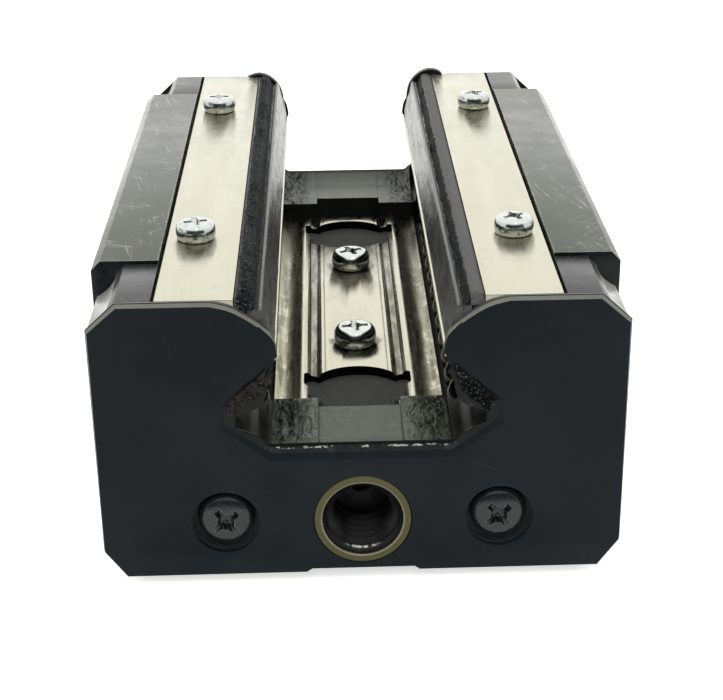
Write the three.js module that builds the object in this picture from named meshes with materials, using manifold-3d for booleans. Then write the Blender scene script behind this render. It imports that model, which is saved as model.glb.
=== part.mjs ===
// Profiled-rail linear guide carriage, full-ball type with four recirculating
// ball rows. Millimetres, +Z up. The carriage lies on its mounting face
// (z = 0) with the rail slot opening upwards; the slot runs along Y.
// Origin: centre of the bounding box at the mounting face.
import * as THREE from 'three';
import { mergeVertices } from 'three/addons/utils/BufferGeometryUtils.js';
import Module from 'manifold-3d';

const wasm = await Module();
wasm.setup();

// ---------------------------------------------------------------- dimensions
const W = 44;                 // overall width, steel block
const L = 70;                 // overall length over the end seals
const K = 25.6;               // height of the steel block
const BLOCK_Y = 26.05;        // half length of the steel block
const SIDE_CHAMFER = 0.8;     // chamfer along the top outer edges
const BASE_CHAMFER = 0.5;     // chamfer along the bottom outer edges
const GAP = 0.04;             // clearance between pieces that rest face to face

const FLOOR_Z = 10.1;         // slot floor of the block
const STEP_X = 16.4;          // step between outer strip and plate seat
const SEAT_Z = 24.4;          // seat of the side seal plates
const LEG_X = 8.9;            // inner wall of the legs above the ball rows
const WEB_X = 11.2;           // land between the two ball rows of a leg

const BALL_R = 1.8;           // radius of the simplified balls of the trains
const NECK_R = 0.3;           // link that keeps a train in one body
const RACE_R = 2.1;           // raceway groove radius
const ROW_X = 9.7;            // load rows, distance from the centre plane
const ROW_UPPER_Z = 11.9;     // load row nearest the mounting face
const ROW_LOWER_Z = 17.6;     // load row nearest the leg tips
const RET_X = 15.9;           // return bores
const RET_UPPER_Z = 9.6;
const RET_LOWER_Z = 19.6;
const RET_R = 2.25;           // return bore radius
const TURN_Y = 26.9;          // centre of the turnaround arcs
const PITCH = 4.01;           // ball pitch along the circuit
const ROW_BALLS = 13;         // balls in a straight stretch
const CORE_R = 0.95;          // core pin radius in each turnaround

const BOLT_X = 16, BOLT_Y = 18, BOLT_R = 2.25, BOLT_DEPTH = 6;  // 4 x M5, 32 x 36

const PLATE_Y = 34.4;         // half length of the side seal plates
const PLATE_X0 = 9.9, PLATE_X1 = 16.1, PLATE_Z0 = 24.44, PLATE_Z1 = 25.36;
const PLATE_SCREW_X = 13.65, PLATE_SCREW_Y = 20.1;

const END_Y0 = BLOCK_Y + GAP; // end plate, face towards the block
const END_Y1 = 34.4;          // end plate, face towards the seal
const SEAL_Y0 = 34.44;        // end seal, back face
const SEAL_STEP = 34.7;       // end seal, depth of the stepped band
const SEAL_Y1 = 35;           // end seal, front face
const END_FLOOR_Z = 12.65;    // slot floor of the end plates
const LIP_FLOOR_Z = 12.5;     // slot floor of the seal lip
const RECESS_FLOOR_Z = 11.4;  // slot floor of the stepped band
const TONGUE_Y = 25.85;       // end plate tongue reaches inside the block slot
const NOTCH_X = 3.55, NOTCH_Y = 27.7;  // notch in the end plate floor

const INSERT_Z = 5.7;         // grease nipple thread, above the mounting face
const INSERT_R = 4.07, INSERT_BORE = 3.37, INSERT_THREAD = 2.75;
const END_SCREW_X = 11.35, END_SCREW_Z = 5.7;

const HOLE_Y = 20.1, HOLE_R = 4.4;     // openings in the centre retainer
const RETAINER_Y = 25.8;
const RETAINER_SCREW_Y = 10.2;

// ------------------------------------------------------------------- helpers
function solid(geometry) {
  let g = geometry.clone();
  if (g.attributes.normal) g.deleteAttribute('normal');
  if (g.attributes.uv) g.deleteAttribute('uv');
  g = mergeVertices(g, 1e-4);
  const p = g.attributes.position.array;
  const src = g.index.array;
  const tri = [];
  for (let i = 0; i < src.length; i += 3) {
    const [a, b, c] = [src[i], src[i + 1], src[i + 2]];
    if (a !== b && b !== c && a !== c) tri.push(a, b, c);
  }
  let vol = 0;
  for (let i = 0; i < tri.length; i += 3) {
    const [a, b, c] = [tri[i] * 3, tri[i + 1] * 3, tri[i + 2] * 3];
    vol += p[a] * (p[b + 1] * p[c + 2] - p[b + 2] * p[c + 1])
         - p[a + 1] * (p[b] * p[c + 2] - p[b + 2] * p[c])
         + p[a + 2] * (p[b] * p[c + 1] - p[b + 1] * p[c]);
  }
  if (vol < 0) {
    for (let i = 0; i < tri.length; i += 3) [tri[i + 1], tri[i + 2]] = [tri[i + 2], tri[i + 1]];
  }
  return new wasm.Manifold(new wasm.Mesh({
    numProp: 3,
    vertProperties: new Float32Array(p),
    triVerts: new Uint32Array(tri),
  }));
}

function geometryOf(s) {
  const m = s.getMesh();
  const g = new THREE.BufferGeometry();
  g.setAttribute('position', new THREE.BufferAttribute(new Float32Array(m.vertProperties), 3));
  g.setIndex(new THREE.BufferAttribute(new Uint32Array(m.triVerts), 1));
  g.computeVertexNormals();
  return g;
}

// The same piece on the other side of the plane x = 0 (axis 0) or y = 0 (axis 1).
function mirrored(g, axis) {
  const out = g.index ? g.clone() : mergeVertices(g.clone(), 1e-5);
  const p = out.attributes.position.array;
  for (let i = axis; i < p.length; i += 3) p[i] = -p[i];
  const t = out.index.array;
  for (let i = 0; i < t.length; i += 3) [t[i + 1], t[i + 2]] = [t[i + 2], t[i + 1]];
  out.computeVertexNormals();
  return out;
}

// Closed section [x, z] extruded along Y from y0 to y1.
function prismY(points, y0, y1) {
  const shape = new THREE.Shape(points.map(([x, z]) => new THREE.Vector2(x, z)));
  const g = new THREE.ExtrudeGeometry(shape, { depth: y1 - y0, bevelEnabled: false, steps: 1 });
  g.rotateX(Math.PI / 2);
  g.translate(0, y1, 0);
  return g;
}

// Closed plan [x, y] extruded along Z from z0 to z1.
function prismZ(points, z0, z1) {
  const shape = new THREE.Shape(points.map(([x, y]) => new THREE.Vector2(x, y)));
  const g = new THREE.ExtrudeGeometry(shape, { depth: z1 - z0, bevelEnabled: false, steps: 1 });
  g.translate(0, 0, z0);
  return g;
}

function box(x0, x1, y0, y1, z0, z1) {
  const g = new THREE.BoxGeometry(x1 - x0, y1 - y0, z1 - z0);
  g.translate((x0 + x1) / 2, (y0 + y1) / 2, (z0 + z1) / 2);
  return g;
}

function cylY(x, z, r, y0, y1, seg = 16) {
  const g = new THREE.CylinderGeometry(r, r, y1 - y0, seg);
  g.translate(x, (y0 + y1) / 2, z);
  return g;
}

function cylZ(x, y, r, z0, z1, seg = 16) {
  const g = new THREE.CylinderGeometry(r, r, z1 - z0, seg);
  g.rotateX(Math.PI / 2);
  g.translate(x, y, (z0 + z1) / 2);
  return g;
}

// Points of an arc in the section plane, angles in degrees.
function arc(cx, cz, r, a0, a1, n) {
  const pts = [];
  for (let i = 0; i <= n; i++) {
    const a = THREE.MathUtils.degToRad(a0 + (a1 - a0) * i / n);
    pts.push([cx + r * Math.cos(a), cz + r * Math.sin(a)]);
  }
  return pts;
}

// Full section from its right half, listed from the centre plane at the
// bottom, round the outside and back to the centre plane.
function symmetric(half) {
  const left = half.slice().reverse().map(([x, z]) => [-x, z]);
  const all = half.concat(left);
  return all.filter(([x, z], i) => {
    const [px, pz] = all[(i + all.length - 1) % all.length];
    return Math.hypot(x - px, z - pz) > 1e-6;
  });
}

const lookOf = {
  steel:   { color: 0x6b6c66, roughness: 0.42, metalness: 0.9 },
  plate:   { color: 0xd9d4bf, roughness: 0.28, metalness: 0.95 },
  black:   { color: 0x1d1f24, roughness: 0.55, metalness: 0.0 },
  grey:    { color: 0x6a6d68, roughness: 0.5,  metalness: 0.1 },
  rubber:  { color: 0x1c1c1d, roughness: 0.7,  metalness: 0.0 },
  zinc:    { color: 0xc9cdd0, roughness: 0.2,  metalness: 1.0 },
  blackScrew: { color: 0x0c0c0d, roughness: 0.25, metalness: 0.6 },
  brass:   { color: 0x8a7a48, roughness: 0.4,  metalness: 0.9 },
  ball:    { color: 0xb8bbbd, roughness: 0.1,  metalness: 1.0 },
  core:    { color: 0x2a2c30, roughness: 0.6,  metalness: 0.0 },
};
const materials = {};
for (const [key, value] of Object.entries(lookOf)) {
  materials[key] = new THREE.MeshStandardMaterial(value);
}

const carriage = new THREE.Group();
carriage.name = 'linear_guide_carriage';

function place(group, name, geometry, look, x = 0, y = 0, z = 0) {
  const mesh = new THREE.Mesh(geometry, materials[look]);
  mesh.name = name;
  mesh.position.set(x, y, z);
  group.add(mesh);
  return mesh;
}

const bodyGroup = new THREE.Group();
const coverGroup = new THREE.Group();
const trainGroup = new THREE.Group();
carriage.add(bodyGroup, coverGroup, trainGroup);

// --------------------------------------------------------------- steel block
const blockHalf = [
  [0, 0], [W / 2 - BASE_CHAMFER, 0], [W / 2, BASE_CHAMFER],
  [W / 2, K - SIDE_CHAMFER], [W / 2 - SIDE_CHAMFER, K],
  [STEP_X, K], [STEP_X, SEAT_Z], [LEG_X, SEAT_Z],
  ...arc(ROW_X, ROW_LOWER_Z, RACE_R, 112, -15, 10),
  [WEB_X, 16.2], [WEB_X, 13.3],
  ...arc(ROW_X, ROW_UPPER_Z, RACE_R, 15, -121, 10),
  [0, FLOOR_Z],
];
let block = solid(prismY(symmetric(blockHalf), -BLOCK_Y, BLOCK_Y));
for (const sx of [-1, 1]) {
  for (const z of [RET_UPPER_Z, RET_LOWER_Z]) {
    block = block.subtract(solid(cylY(sx * RET_X, z, RET_R, -BLOCK_Y - 1, BLOCK_Y + 1, 14)));
  }
  for (const sy of [-1, 1]) {
    block = block.subtract(solid(cylZ(sx * BOLT_X, sy * BOLT_Y, BOLT_R, -1, BOLT_DEPTH, 20)));
    block = block.subtract(solid(cylZ(sx * PLATE_SCREW_X, sy * PLATE_SCREW_Y, 1.15, 21.95, SEAT_Z + 1, 10)));
    const y0 = sy < 0 ? -BLOCK_Y - 1 : BLOCK_Y - 7;
    const y1 = sy < 0 ? -BLOCK_Y + 7 : BLOCK_Y + 1;
    block = block.subtract(solid(cylY(sx * END_SCREW_X, END_SCREW_Z, 1.65, y0, y1, 12)));
  }
}
for (const sy of [-1, 1]) {
  block = block.subtract(solid(cylZ(0, sy * RETAINER_SCREW_Y, 1.15, 6.2, FLOOR_Z + 1, 10)));
}
place(bodyGroup, 'carriage_block', geometryOf(block), 'steel');

// ------------------------------------------------------- end plates and seals
const outerHalf = [
  [0, 1.1], [4.3, 1.1], [4.8, 0.8], [19.75, 0.8], [21.6, 3.2],
  [21.6, 23.1], [19.2, 25.3],
];
// rail-shaped slot with a bump into each ball groove of the rail
const slotHalf = (floor, top) => [
  ...top,
  [7.4, 18.6], [7.65, 17.6], [7.8, 16.8], [8.22, 16.22], [8.85, 15.8], [9.6, 15.65],
  [10.4, 15.4], [10.4, 14.1],
  [9.6, 13.85], [8.85, 13.7], [8.22, 13.28], [7.85, 12.8], [7.6, floor], [0, floor],
];
const recessTop = [
  [11.8, 25.3], [10.2, 24.85], [8.6, 23.9], [7.55, 23.0], [6.85, 22.1], [6.6, 20.8],
];
const seatTop = [[STEP_X, 25.3], [STEP_X, SEAT_Z], [LEG_X + 0.05, SEAT_Z], [LEG_X + 0.05, 19.65], [7.2, 19.65]];

// half torus for the ball path of a turnaround, in the plane of one circuit
function circuit(upper) {
  const load = new THREE.Vector3(ROW_X, 0, upper ? ROW_UPPER_Z : ROW_LOWER_Z);
  const back = new THREE.Vector3(RET_X, 0, upper ? RET_UPPER_Z : RET_LOWER_Z);
  const d = back.clone().sub(load);
  const R = d.length() / 2;
  d.normalize();
  const mid = load.clone().add(back).multiplyScalar(0.5);
  return { load, back, d, R, mid, tilt: Math.atan2(d.z, d.x) };
}

// pocket for the ball path: a round section swept through the half turn
function turnPocket(c, r) {
  const steps = 6;
  const arcPts = [];
  for (let i = 0; i <= steps; i++) {
    const a = Math.PI * i / steps;
    arcPts.push([-c.R * Math.cos(a), -TURN_Y - c.R * Math.sin(a), 0]);
  }
  const path = [[-c.R, -END_Y0 + 2, 0], ...arcPts, [c.R, -END_Y0 + 2, 0]];
  // ring of section points at every path point, joined into one closed skin
  const sides = 8;
  const pos = [];
  const n = path.length;
  for (let i = 0; i < n; i++) {
    const a = path[Math.max(0, i - 1)], b = path[Math.min(n - 1, i + 1)];
    const t = new THREE.Vector3(b[0] - a[0], b[1] - a[1], 0).normalize();
    const side = new THREE.Vector3(-t.y, t.x, 0);
    for (let k = 0; k < sides; k++) {
      const w = 2 * Math.PI * (k + 0.5) / sides;
      pos.push(path[i][0] + r * Math.cos(w) * side.x, path[i][1] + r * Math.cos(w) * side.y, r * Math.sin(w));
    }
  }
  const idx = [];
  for (let i = 0; i + 1 < n; i++) {
    for (let k = 0; k < sides; k++) {
      const k2 = (k + 1) % sides;
      const a = i * sides + k, b = i * sides + k2, e = (i + 1) * sides + k, f = (i + 1) * sides + k2;
      idx.push(a, b, f, a, f, e);
    }
  }
  for (let k = 1; k + 1 < sides; k++) {
    idx.push(0, k + 1, k);
    const o = (n - 1) * sides;
    idx.push(o, o + k, o + k + 1);
  }
  const g = new THREE.BufferGeometry();
  g.setAttribute('position', new THREE.Float32BufferAttribute(pos, 3));
  g.setIndex(idx);
  // core pocket: half-round slot inside the bend
  const core = new THREE.CylinderGeometry(CORE_R + 0.35, CORE_R + 0.35, 5.4, 10);
  core.rotateX(Math.PI / 2);
  core.translate(0, -TURN_Y, 0);
  const mouth = box(-(CORE_R + 0.35), CORE_R + 0.35, -TURN_Y, -END_Y0 + 2, -2.7, 2.7);
  const s = solid(g).add(solid(core)).add(solid(mouth));
  // turn into the plane of the circuit and move to its middle
  const out = geometryOf(s);
  out.rotateY(-c.tilt);
  out.translate(c.mid.x, 0, c.mid.z);
  return out;
}

const upperC = circuit(true);
const lowerC = circuit(false);

let endPlate = solid(prismY(symmetric([...outerHalf, ...slotHalf(END_FLOOR_Z, seatTop)]), -END_Y1, -END_Y0));
// tongue on the floor that reaches into the block slot
endPlate = endPlate.add(solid(box(-7.5, 7.5, -END_Y0 - 1, -TONGUE_Y, FLOOR_Z + GAP, END_FLOOR_Z)));
endPlate = endPlate.subtract(solid(box(-NOTCH_X, NOTCH_X, -NOTCH_Y, -TONGUE_Y + 1, FLOOR_Z + GAP, END_FLOOR_Z + 1)));
for (const sx of [-1, 1]) {
  // concave relief of the outer top corner, between the corners of the seal's chamfer
  endPlate = endPlate.subtract(solid(cylY(sx * 22.95, 25.65, 3.3, -END_Y1 - 1, -END_Y0 + 1, 32)));
  endPlate = endPlate.subtract(solid(cylY(sx * END_SCREW_X, END_SCREW_Z, 1.7, -END_Y1 - 1, -END_Y0 + 1, 12)));
  endPlate = endPlate.subtract(solid(cylY(sx * END_SCREW_X, END_SCREW_Z, 2.85, -END_Y1 - 1, -SEAL_Y1 + 1.3, 20)));
}
endPlate = endPlate.subtract(solid(cylY(0, INSERT_Z, 4.15, -END_Y1 - 1, -28.4, 24)));
endPlate = endPlate.subtract(solid(cylY(0, INSERT_Z, 1.0, -29, -END_Y0 + 1, 10)));
for (const c of [upperC, lowerC]) {
  const pocket = turnPocket(c, 2.2);
  endPlate = endPlate.subtract(solid(pocket));
  endPlate = endPlate.subtract(solid(mirrored(pocket, 0)));
}
const endPlateG = geometryOf(endPlate);
place(bodyGroup, 'front_end_plate', endPlateG, 'grey');
place(bodyGroup, 'rear_end_plate', mirrored(endPlateG, 1), 'grey');

const recessHalf = [
  ...outerHalf, ...recessTop, [11.6, 16.4], [11.6, 14.5], [7.5, RECESS_FLOOR_Z], [0, RECESS_FLOOR_Z],
];
const lipHalf = [...outerHalf, ...slotHalf(LIP_FLOOR_Z, recessTop)];
let seal = solid(prismY(symmetric(recessHalf), -SEAL_Y1, -SEAL_STEP));
seal = seal.add(solid(prismY(symmetric(lipHalf), -SEAL_STEP, -SEAL_Y0)));
seal = seal.subtract(solid(cylY(0, INSERT_Z, 4.15, -SEAL_Y1 - 1, -SEAL_Y0 + 1, 24)));
for (const sx of [-1, 1]) {
  seal = seal.subtract(solid(cylY(sx * END_SCREW_X, END_SCREW_Z, 2.85, -SEAL_Y1 - 1, -SEAL_Y1 + 1.3, 20)));
  seal = seal.subtract(solid(cylY(sx * END_SCREW_X, END_SCREW_Z, 1.7, -SEAL_Y1 - 1, -SEAL_Y0 + 1, 12)));
}
const sealG = geometryOf(seal);
place(coverGroup, 'front_end_seal', sealG, 'black');
place(coverGroup, 'rear_end_seal', mirrored(sealG, 1), 'black');

// brass insert with the nipple thread
const insertProfile = [
  [INSERT_R, -SEAL_Y1], [INSERT_BORE, -SEAL_Y1], [INSERT_BORE, -34.0],
  [INSERT_THREAD, -33.4], [INSERT_THREAD, -28.6], [INSERT_R, -28.6], [INSERT_R, -SEAL_Y1],
].map(([r, y]) => new THREE.Vector2(r, y));
const insertG = geometryOf(solid((() => {
  const g = new THREE.LatheGeometry(insertProfile, 24);
  g.translate(0, 0, INSERT_Z);
  return g;
})()));
place(coverGroup, 'front_nipple_insert', insertG, 'brass');
place(coverGroup, 'rear_nipple_insert', mirrored(insertG, 1), 'brass');

// ------------------------------------------------------------------- screws
// Pan head screw, axis along +Z, underside of the head at z = 0.
function panScrew(headR, headH, shankR, shankL, slotW, slotL, seg = 12) {
  const pts = [
    [0, headH], [headR * 0.55, headH * 0.94], [headR * 0.86, headH * 0.66], [headR, headH * 0.28],
    [headR, 0], [shankR, 0], [shankR, -shankL + shankR * 0.6], [shankR * 0.55, -shankL], [0, -shankL],
  ].map(([r, z]) => new THREE.Vector2(r, z));
  const g = new THREE.LatheGeometry(pts, seg);
  g.rotateX(Math.PI / 2);
  let s = solid(g);
  s = s.subtract(solid(box(-slotL / 2, slotL / 2, -slotW / 2, slotW / 2, headH * 0.38, headH + 1)));
  s = s.subtract(solid(box(-slotW / 2, slotW / 2, -slotL / 2, slotL / 2, headH * 0.38, headH + 1)));
  return geometryOf(s);
}
const plateScrew = panScrew(1.7, 1.3, 0.95, 3.3, 0.42, 1.9);
for (const [sx, side] of [[-1, 'left'], [1, 'right']]) {
  for (const [sy, end] of [[-1, 'front'], [1, 'rear']]) {
    place(coverGroup, `${side}_plate_screw_${end}`, plateScrew, 'zinc', sx * PLATE_SCREW_X, sy * PLATE_SCREW_Y, PLATE_Z1 + GAP);
  }
}
const retainerScrew = panScrew(2.05, 1.5, 0.95, 4.6, 0.48, 2.3);
for (const [sy, end] of [[-1, 'front'], [1, 'rear']]) {
  place(coverGroup, `retainer_screw_${end}`, retainerScrew, 'zinc', 0, sy * RETAINER_SCREW_Y, 11.0 + GAP);
}
const endScrew = panScrew(2.3, 1.25, 1.5, 13.2, 0.6, 2.9, 14);
endScrew.rotateX(Math.PI / 2);           // head towards -Y
endScrew.translate(0, -SEAL_Y1 + 1.3 - GAP, END_SCREW_Z);
const endScrewRear = mirrored(endScrew, 1);
for (const [sx, side] of [[-1, 'left'], [1, 'right']]) {
  place(coverGroup, `front_end_screw_${side}`, endScrew, 'blackScrew', sx * END_SCREW_X, 0, 0);
  place(coverGroup, `rear_end_screw_${side}`, endScrewRear, 'blackScrew', sx * END_SCREW_X, 0, 0);
}

// -------------------------------------------------- side seal plates and lips
let plate = solid(box(PLATE_X0, PLATE_X1, -PLATE_Y, PLATE_Y, PLATE_Z0, PLATE_Z1));
for (const sy of [-1, 1]) {
  plate = plate.subtract(solid(cylZ(PLATE_SCREW_X, sy * PLATE_SCREW_Y, 1.15, PLATE_Z0 - 1, PLATE_Z1 + 1, 12)));
}
const plateG = geometryOf(plate);
place(coverGroup, 'right_side_seal_plate', plateG, 'plate');
place(coverGroup, 'left_side_seal_plate', mirrored(plateG, 0), 'plate');

const lipSection = [
  [9.86, 25.3], [9.4, 25.5], [8.9, 25.4], [8.6, 24.9], [8.3, 24.45], [8.05, 24.5], [7.8, 24.45],
  [7.55, 23.9], [7.2, 22.7], [6.9, 21.4], [6.85, 20.95], [8.84, 20.95], [8.84, 24.46], [9.86, 24.46],
];
const lipG = geometryOf(solid(prismY(lipSection, -PLATE_Y, PLATE_Y)));
place(coverGroup, 'right_side_seal_lip', lipG, 'rubber');
place(coverGroup, 'left_side_seal_lip', mirrored(lipG, 0), 'rubber');

// -------------------------------------------------------- ball retainer strips
const lowerStrip = [[6.7, 20.1], [6.7, 20.55], [8.84, 20.85], [8.84, 20.3], [8.2, 19.85]];
const lowerStripG = geometryOf(solid(prismY(lowerStrip, -PLATE_Y, PLATE_Y)));
place(bodyGroup, 'right_lower_ball_retainer', lowerStripG, 'plate');
place(bodyGroup, 'left_lower_ball_retainer', mirrored(lowerStripG, 0), 'plate');

const midStrip = [[10.1, 14.2], [10.1, 15.3], [11.14, 15.5], [11.14, 14.0]];
const midStripG = geometryOf(solid(prismY(midStrip, -BLOCK_Y + 0.1, BLOCK_Y - 0.1)));
place(bodyGroup, 'right_middle_ball_retainer', midStripG, 'plate');
place(bodyGroup, 'left_middle_ball_retainer', mirrored(midStripG, 0), 'plate');

const centreHalf = [
  [0, FLOOR_Z + GAP], [7.5, FLOOR_Z + GAP], [7.5, 10.75], [6.9, 11.05], [5.6, 11.12], [4.5, 11.0],
  [4.2, 10.72], [3.5, 10.72], [3.2, 11.0], [0, 11.0],
];
let centre = solid(prismY(symmetric(centreHalf), -RETAINER_Y, RETAINER_Y));
for (const sy of [-1, 1]) {
  centre = centre.subtract(solid(cylZ(0, sy * HOLE_Y, HOLE_R, 9, 12, 36)));
  for (const sx of [-1, 1]) {
    centre = centre.subtract(solid(cylZ(sx * 4.1, sy * HOLE_Y + 2.3, 0.62, 9, 12, 16)));
  }
  centre = centre.subtract(solid(cylZ(0, sy * RETAINER_SCREW_Y, 1.15, 9, 12, 12)));
}
place(bodyGroup, 'centre_ball_retainer', geometryOf(centre), 'plate');

// --------------------------------------------------------- turnaround cores
for (const [c, level] of [[upperC, 'upper'], [lowerC, 'lower']]) {
  const g = new THREE.CylinderGeometry(CORE_R, CORE_R, 4.6, 12, 1, false);
  g.rotateX(Math.PI / 2);
  let s = solid(g).subtract(solid(box(-2, 2, 0, 2, -3, 3)));
  s = s.add(solid(box(-CORE_R + 0.05, CORE_R - 0.05, -0.3, TURN_Y - END_Y0 - 0.15, -2.3, 2.3)));
  const core = geometryOf(s);
  core.translate(0, -TURN_Y, 0);
  core.rotateY(-c.tilt);
  core.translate(c.mid.x, 0, c.mid.z);
  place(bodyGroup, `turnaround_core_front_right_${level}`, core, 'core');
  place(bodyGroup, `turnaround_core_front_left_${level}`, mirrored(core, 0), 'core');
  place(bodyGroup, `turnaround_core_rear_right_${level}`, mirrored(core, 1), 'core');
  place(bodyGroup, `turnaround_core_rear_left_${level}`, mirrored(mirrored(core, 1), 0), 'core');
}

// --------------------------------------------------------------- ball trains
// A straight train is turned about its own axis; thin links keep it together.
function straightTrain() {
  const pts = [];
  const half = (ROW_BALLS - 1) / 2;
  for (let i = -half; i <= half; i++) {
    const y = i * PITCH;
    pts.push(i === -half ? [0, y - BALL_R] : [NECK_R, y - PITCH / 2]);
    pts.push([BALL_R * Math.sin(0.95), y - BALL_R * Math.cos(0.95)]);
    pts.push([BALL_R * Math.sin(0.95), y + BALL_R * Math.cos(0.95)]);
    if (i === half) pts.push([0, y + BALL_R]);
  }
  return geometryOf(solid(new THREE.LatheGeometry(pts.map(([r, y]) => new THREE.Vector2(r, y)), 6)));
}
const trainG = straightTrain();

function turnTrain(c) {
  let s = null;
  const first = (ROW_BALLS - 1) / 2 * PITCH + PITCH - TURN_Y;
  const at = [];
  for (let i = 0; i < 3; i++) at.push((first + i * PITCH) / c.R);
  const pos = at.map((a) => new THREE.Vector3(-c.R * Math.cos(a), -c.R * Math.sin(a), 0));
  for (const p of pos) {
    const g = new THREE.SphereGeometry(BALL_R, 6, 4);
    g.translate(p.x, p.y, p.z);
    s = s ? s.add(solid(g)) : solid(g);
  }
  for (let i = 0; i + 1 < pos.length; i++) {
    const v = pos[i + 1].clone().sub(pos[i]);
    const g = new THREE.CylinderGeometry(NECK_R, NECK_R, v.length() - 2, 4);
    g.applyQuaternion(new THREE.Quaternion().setFromUnitVectors(new THREE.Vector3(0, 1, 0), v.clone().normalize()));
    const m = pos[i].clone().add(pos[i + 1]).multiplyScalar(0.5);
    g.translate(m.x, m.y, m.z);
    s = s.add(solid(g));
  }
  const out = geometryOf(s);
  out.translate(0, -TURN_Y, 0);
  out.rotateY(-c.tilt);
  out.translate(c.mid.x, 0, c.mid.z);
  return out;
}

for (const [c, level] of [[upperC, 'upper'], [lowerC, 'lower']]) {
  const turn = turnTrain(c);
  for (const [sx, side] of [[-1, 'left'], [1, 'right']]) {
    place(trainGroup, `load_balls_${side}_${level}`, trainG, 'ball', sx * c.load.x, 0, c.load.z);
    place(trainGroup, `return_balls_${side}_${level}`, trainG, 'ball', sx * c.back.x, 0, c.back.z);
    const g = sx > 0 ? turn : mirrored(turn, 0);
    place(trainGroup, `front_turn_balls_${side}_${level}`, g, 'ball');
    place(trainGroup, `rear_turn_balls_${side}_${level}`, mirrored(g, 1), 'ball');
  }
}

export default carriage;
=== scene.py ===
"""Looks of the linear guide carriage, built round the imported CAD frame.

Everything is modelled in millimetres in the row frame (+Y along the rail
slot, +Z up, mounting face at z = 0) and written to the meshes in metres.
"""
import bpy
import bmesh
import math
import random
from mathutils import Vector, Matrix, Quaternion, noise


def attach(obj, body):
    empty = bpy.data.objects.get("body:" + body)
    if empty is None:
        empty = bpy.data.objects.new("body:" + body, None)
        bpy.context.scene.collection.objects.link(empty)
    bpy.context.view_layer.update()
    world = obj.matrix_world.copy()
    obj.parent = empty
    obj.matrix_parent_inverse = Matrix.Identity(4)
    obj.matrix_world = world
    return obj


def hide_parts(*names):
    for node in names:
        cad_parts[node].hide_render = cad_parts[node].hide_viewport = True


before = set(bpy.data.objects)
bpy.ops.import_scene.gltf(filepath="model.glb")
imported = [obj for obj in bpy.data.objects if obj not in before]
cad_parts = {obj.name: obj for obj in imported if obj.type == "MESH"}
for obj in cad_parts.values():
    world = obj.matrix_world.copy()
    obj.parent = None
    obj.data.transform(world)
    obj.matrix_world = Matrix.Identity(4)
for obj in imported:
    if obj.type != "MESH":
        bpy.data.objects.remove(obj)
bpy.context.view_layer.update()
S = 0.001

# --------------------------------------------------------------- dimensions
W, K = 44.0, 25.6
BLOCK_Y = 26.05
FLOOR_Z, STEP_X, SEAT_Z, LEG_X, WEB_X = 10.1, 16.4, 24.4, 8.9, 11.2
BALL_R, RACE_R = 1.96, 2.1
ROW_X, ROW_UP, ROW_LO = 9.7, 11.9, 17.6
RET_X, RET_UP, RET_LO, RET_R = 15.9, 9.6, 19.6, 2.25
TURN_Y, PITCH, ROW_BALLS, CORE_R = 26.9, 4.01, 13, 0.95
PLATE_Y, PLATE_X0, PLATE_X1, PLATE_Z0, PLATE_Z1 = 34.4, 9.9, 16.1, 24.44, 25.36
SCREW_X, SCREW_Y = 13.65, 20.1
END_Y0, END_Y1 = 26.09, 34.4
SEAL_Y0, SEAL_STEP, SEAL_Y1 = 34.44, 34.62, 35.0
END_FLOOR, LIP_FLOOR, REAR_LIP = 12.65, 12.5, 13.9
INSERT_Z = 5.7
ESX, ESZ = 11.35, 5.7
HOLE_Y, HOLE_R = 20.1, 4.4


# ---------------------------------------------------------- mesh making kit
def new_object(name, verts, faces):
    me = bpy.data.meshes.new(name)
    me.from_pydata([(v[0] * S, v[1] * S, v[2] * S) for v in verts], [], faces)
    me.validate()
    bm = bmesh.new()
    bm.from_mesh(me)
    bmesh.ops.remove_doubles(bm, verts=bm.verts, dist=1e-7)
    bmesh.ops.recalc_face_normals(bm, faces=bm.faces)
    bm.to_mesh(me)
    bm.free()
    o = bpy.data.objects.new(name, me)
    bpy.context.scene.collection.objects.link(o)
    return o


def prism_y(name, pts, y0, y1):
    n = len(pts)
    verts = [(x, y0, z) for x, z in pts] + [(x, y1, z) for x, z in pts]
    faces = [list(range(n)), [2 * n - 1 - i for i in range(n)]]
    faces += [[i, (i + 1) % n, n + (i + 1) % n, n + i] for i in range(n)]
    return new_object(name, verts, faces)


def loft_y(name, loops):
    """loops: list of (y, [(x, z), ...]) with the same number of points."""
    n = len(loops[0][1])
    verts, faces = [], []
    for y, pts in loops:
        verts += [(p[0], y, p[1]) for p in pts]
    m = len(loops)
    faces.append(list(range(n)))
    faces.append([(m - 1) * n + n - 1 - i for i in range(n)])
    for j in range(m - 1):
        for i in range(n):
            k = (i + 1) % n
            faces.append([j * n + i, j * n + k, (j + 1) * n + k, (j + 1) * n + i])
    return new_object(name, verts, faces)


def box(name, x0, x1, y0, y1, z0, z1):
    return prism_y(name, [(x0, z0), (x1, z0), (x1, z1), (x0, z1)], y0, y1)


def cyl(name, axis, c, r, a0, a1, seg=48, r2=None):
    r2 = r if r2 is None else r2
    v = []
    for a, rr in ((a0, r), (a1, r2)):
        for i in range(seg):
            t = 2 * math.pi * i / seg
            p, q = rr * math.cos(t), rr * math.sin(t)
            v.append((c[0] + p, a, c[1] + q) if axis == "Y" else (c[0] + p, c[1] + q, a))
    f = [list(range(seg)), [2 * seg - 1 - i for i in range(seg)]]
    f += [[i, (i + 1) % seg, seg + (i + 1) % seg, seg + i] for i in range(seg)]
    return new_object(name, v, f)


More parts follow.
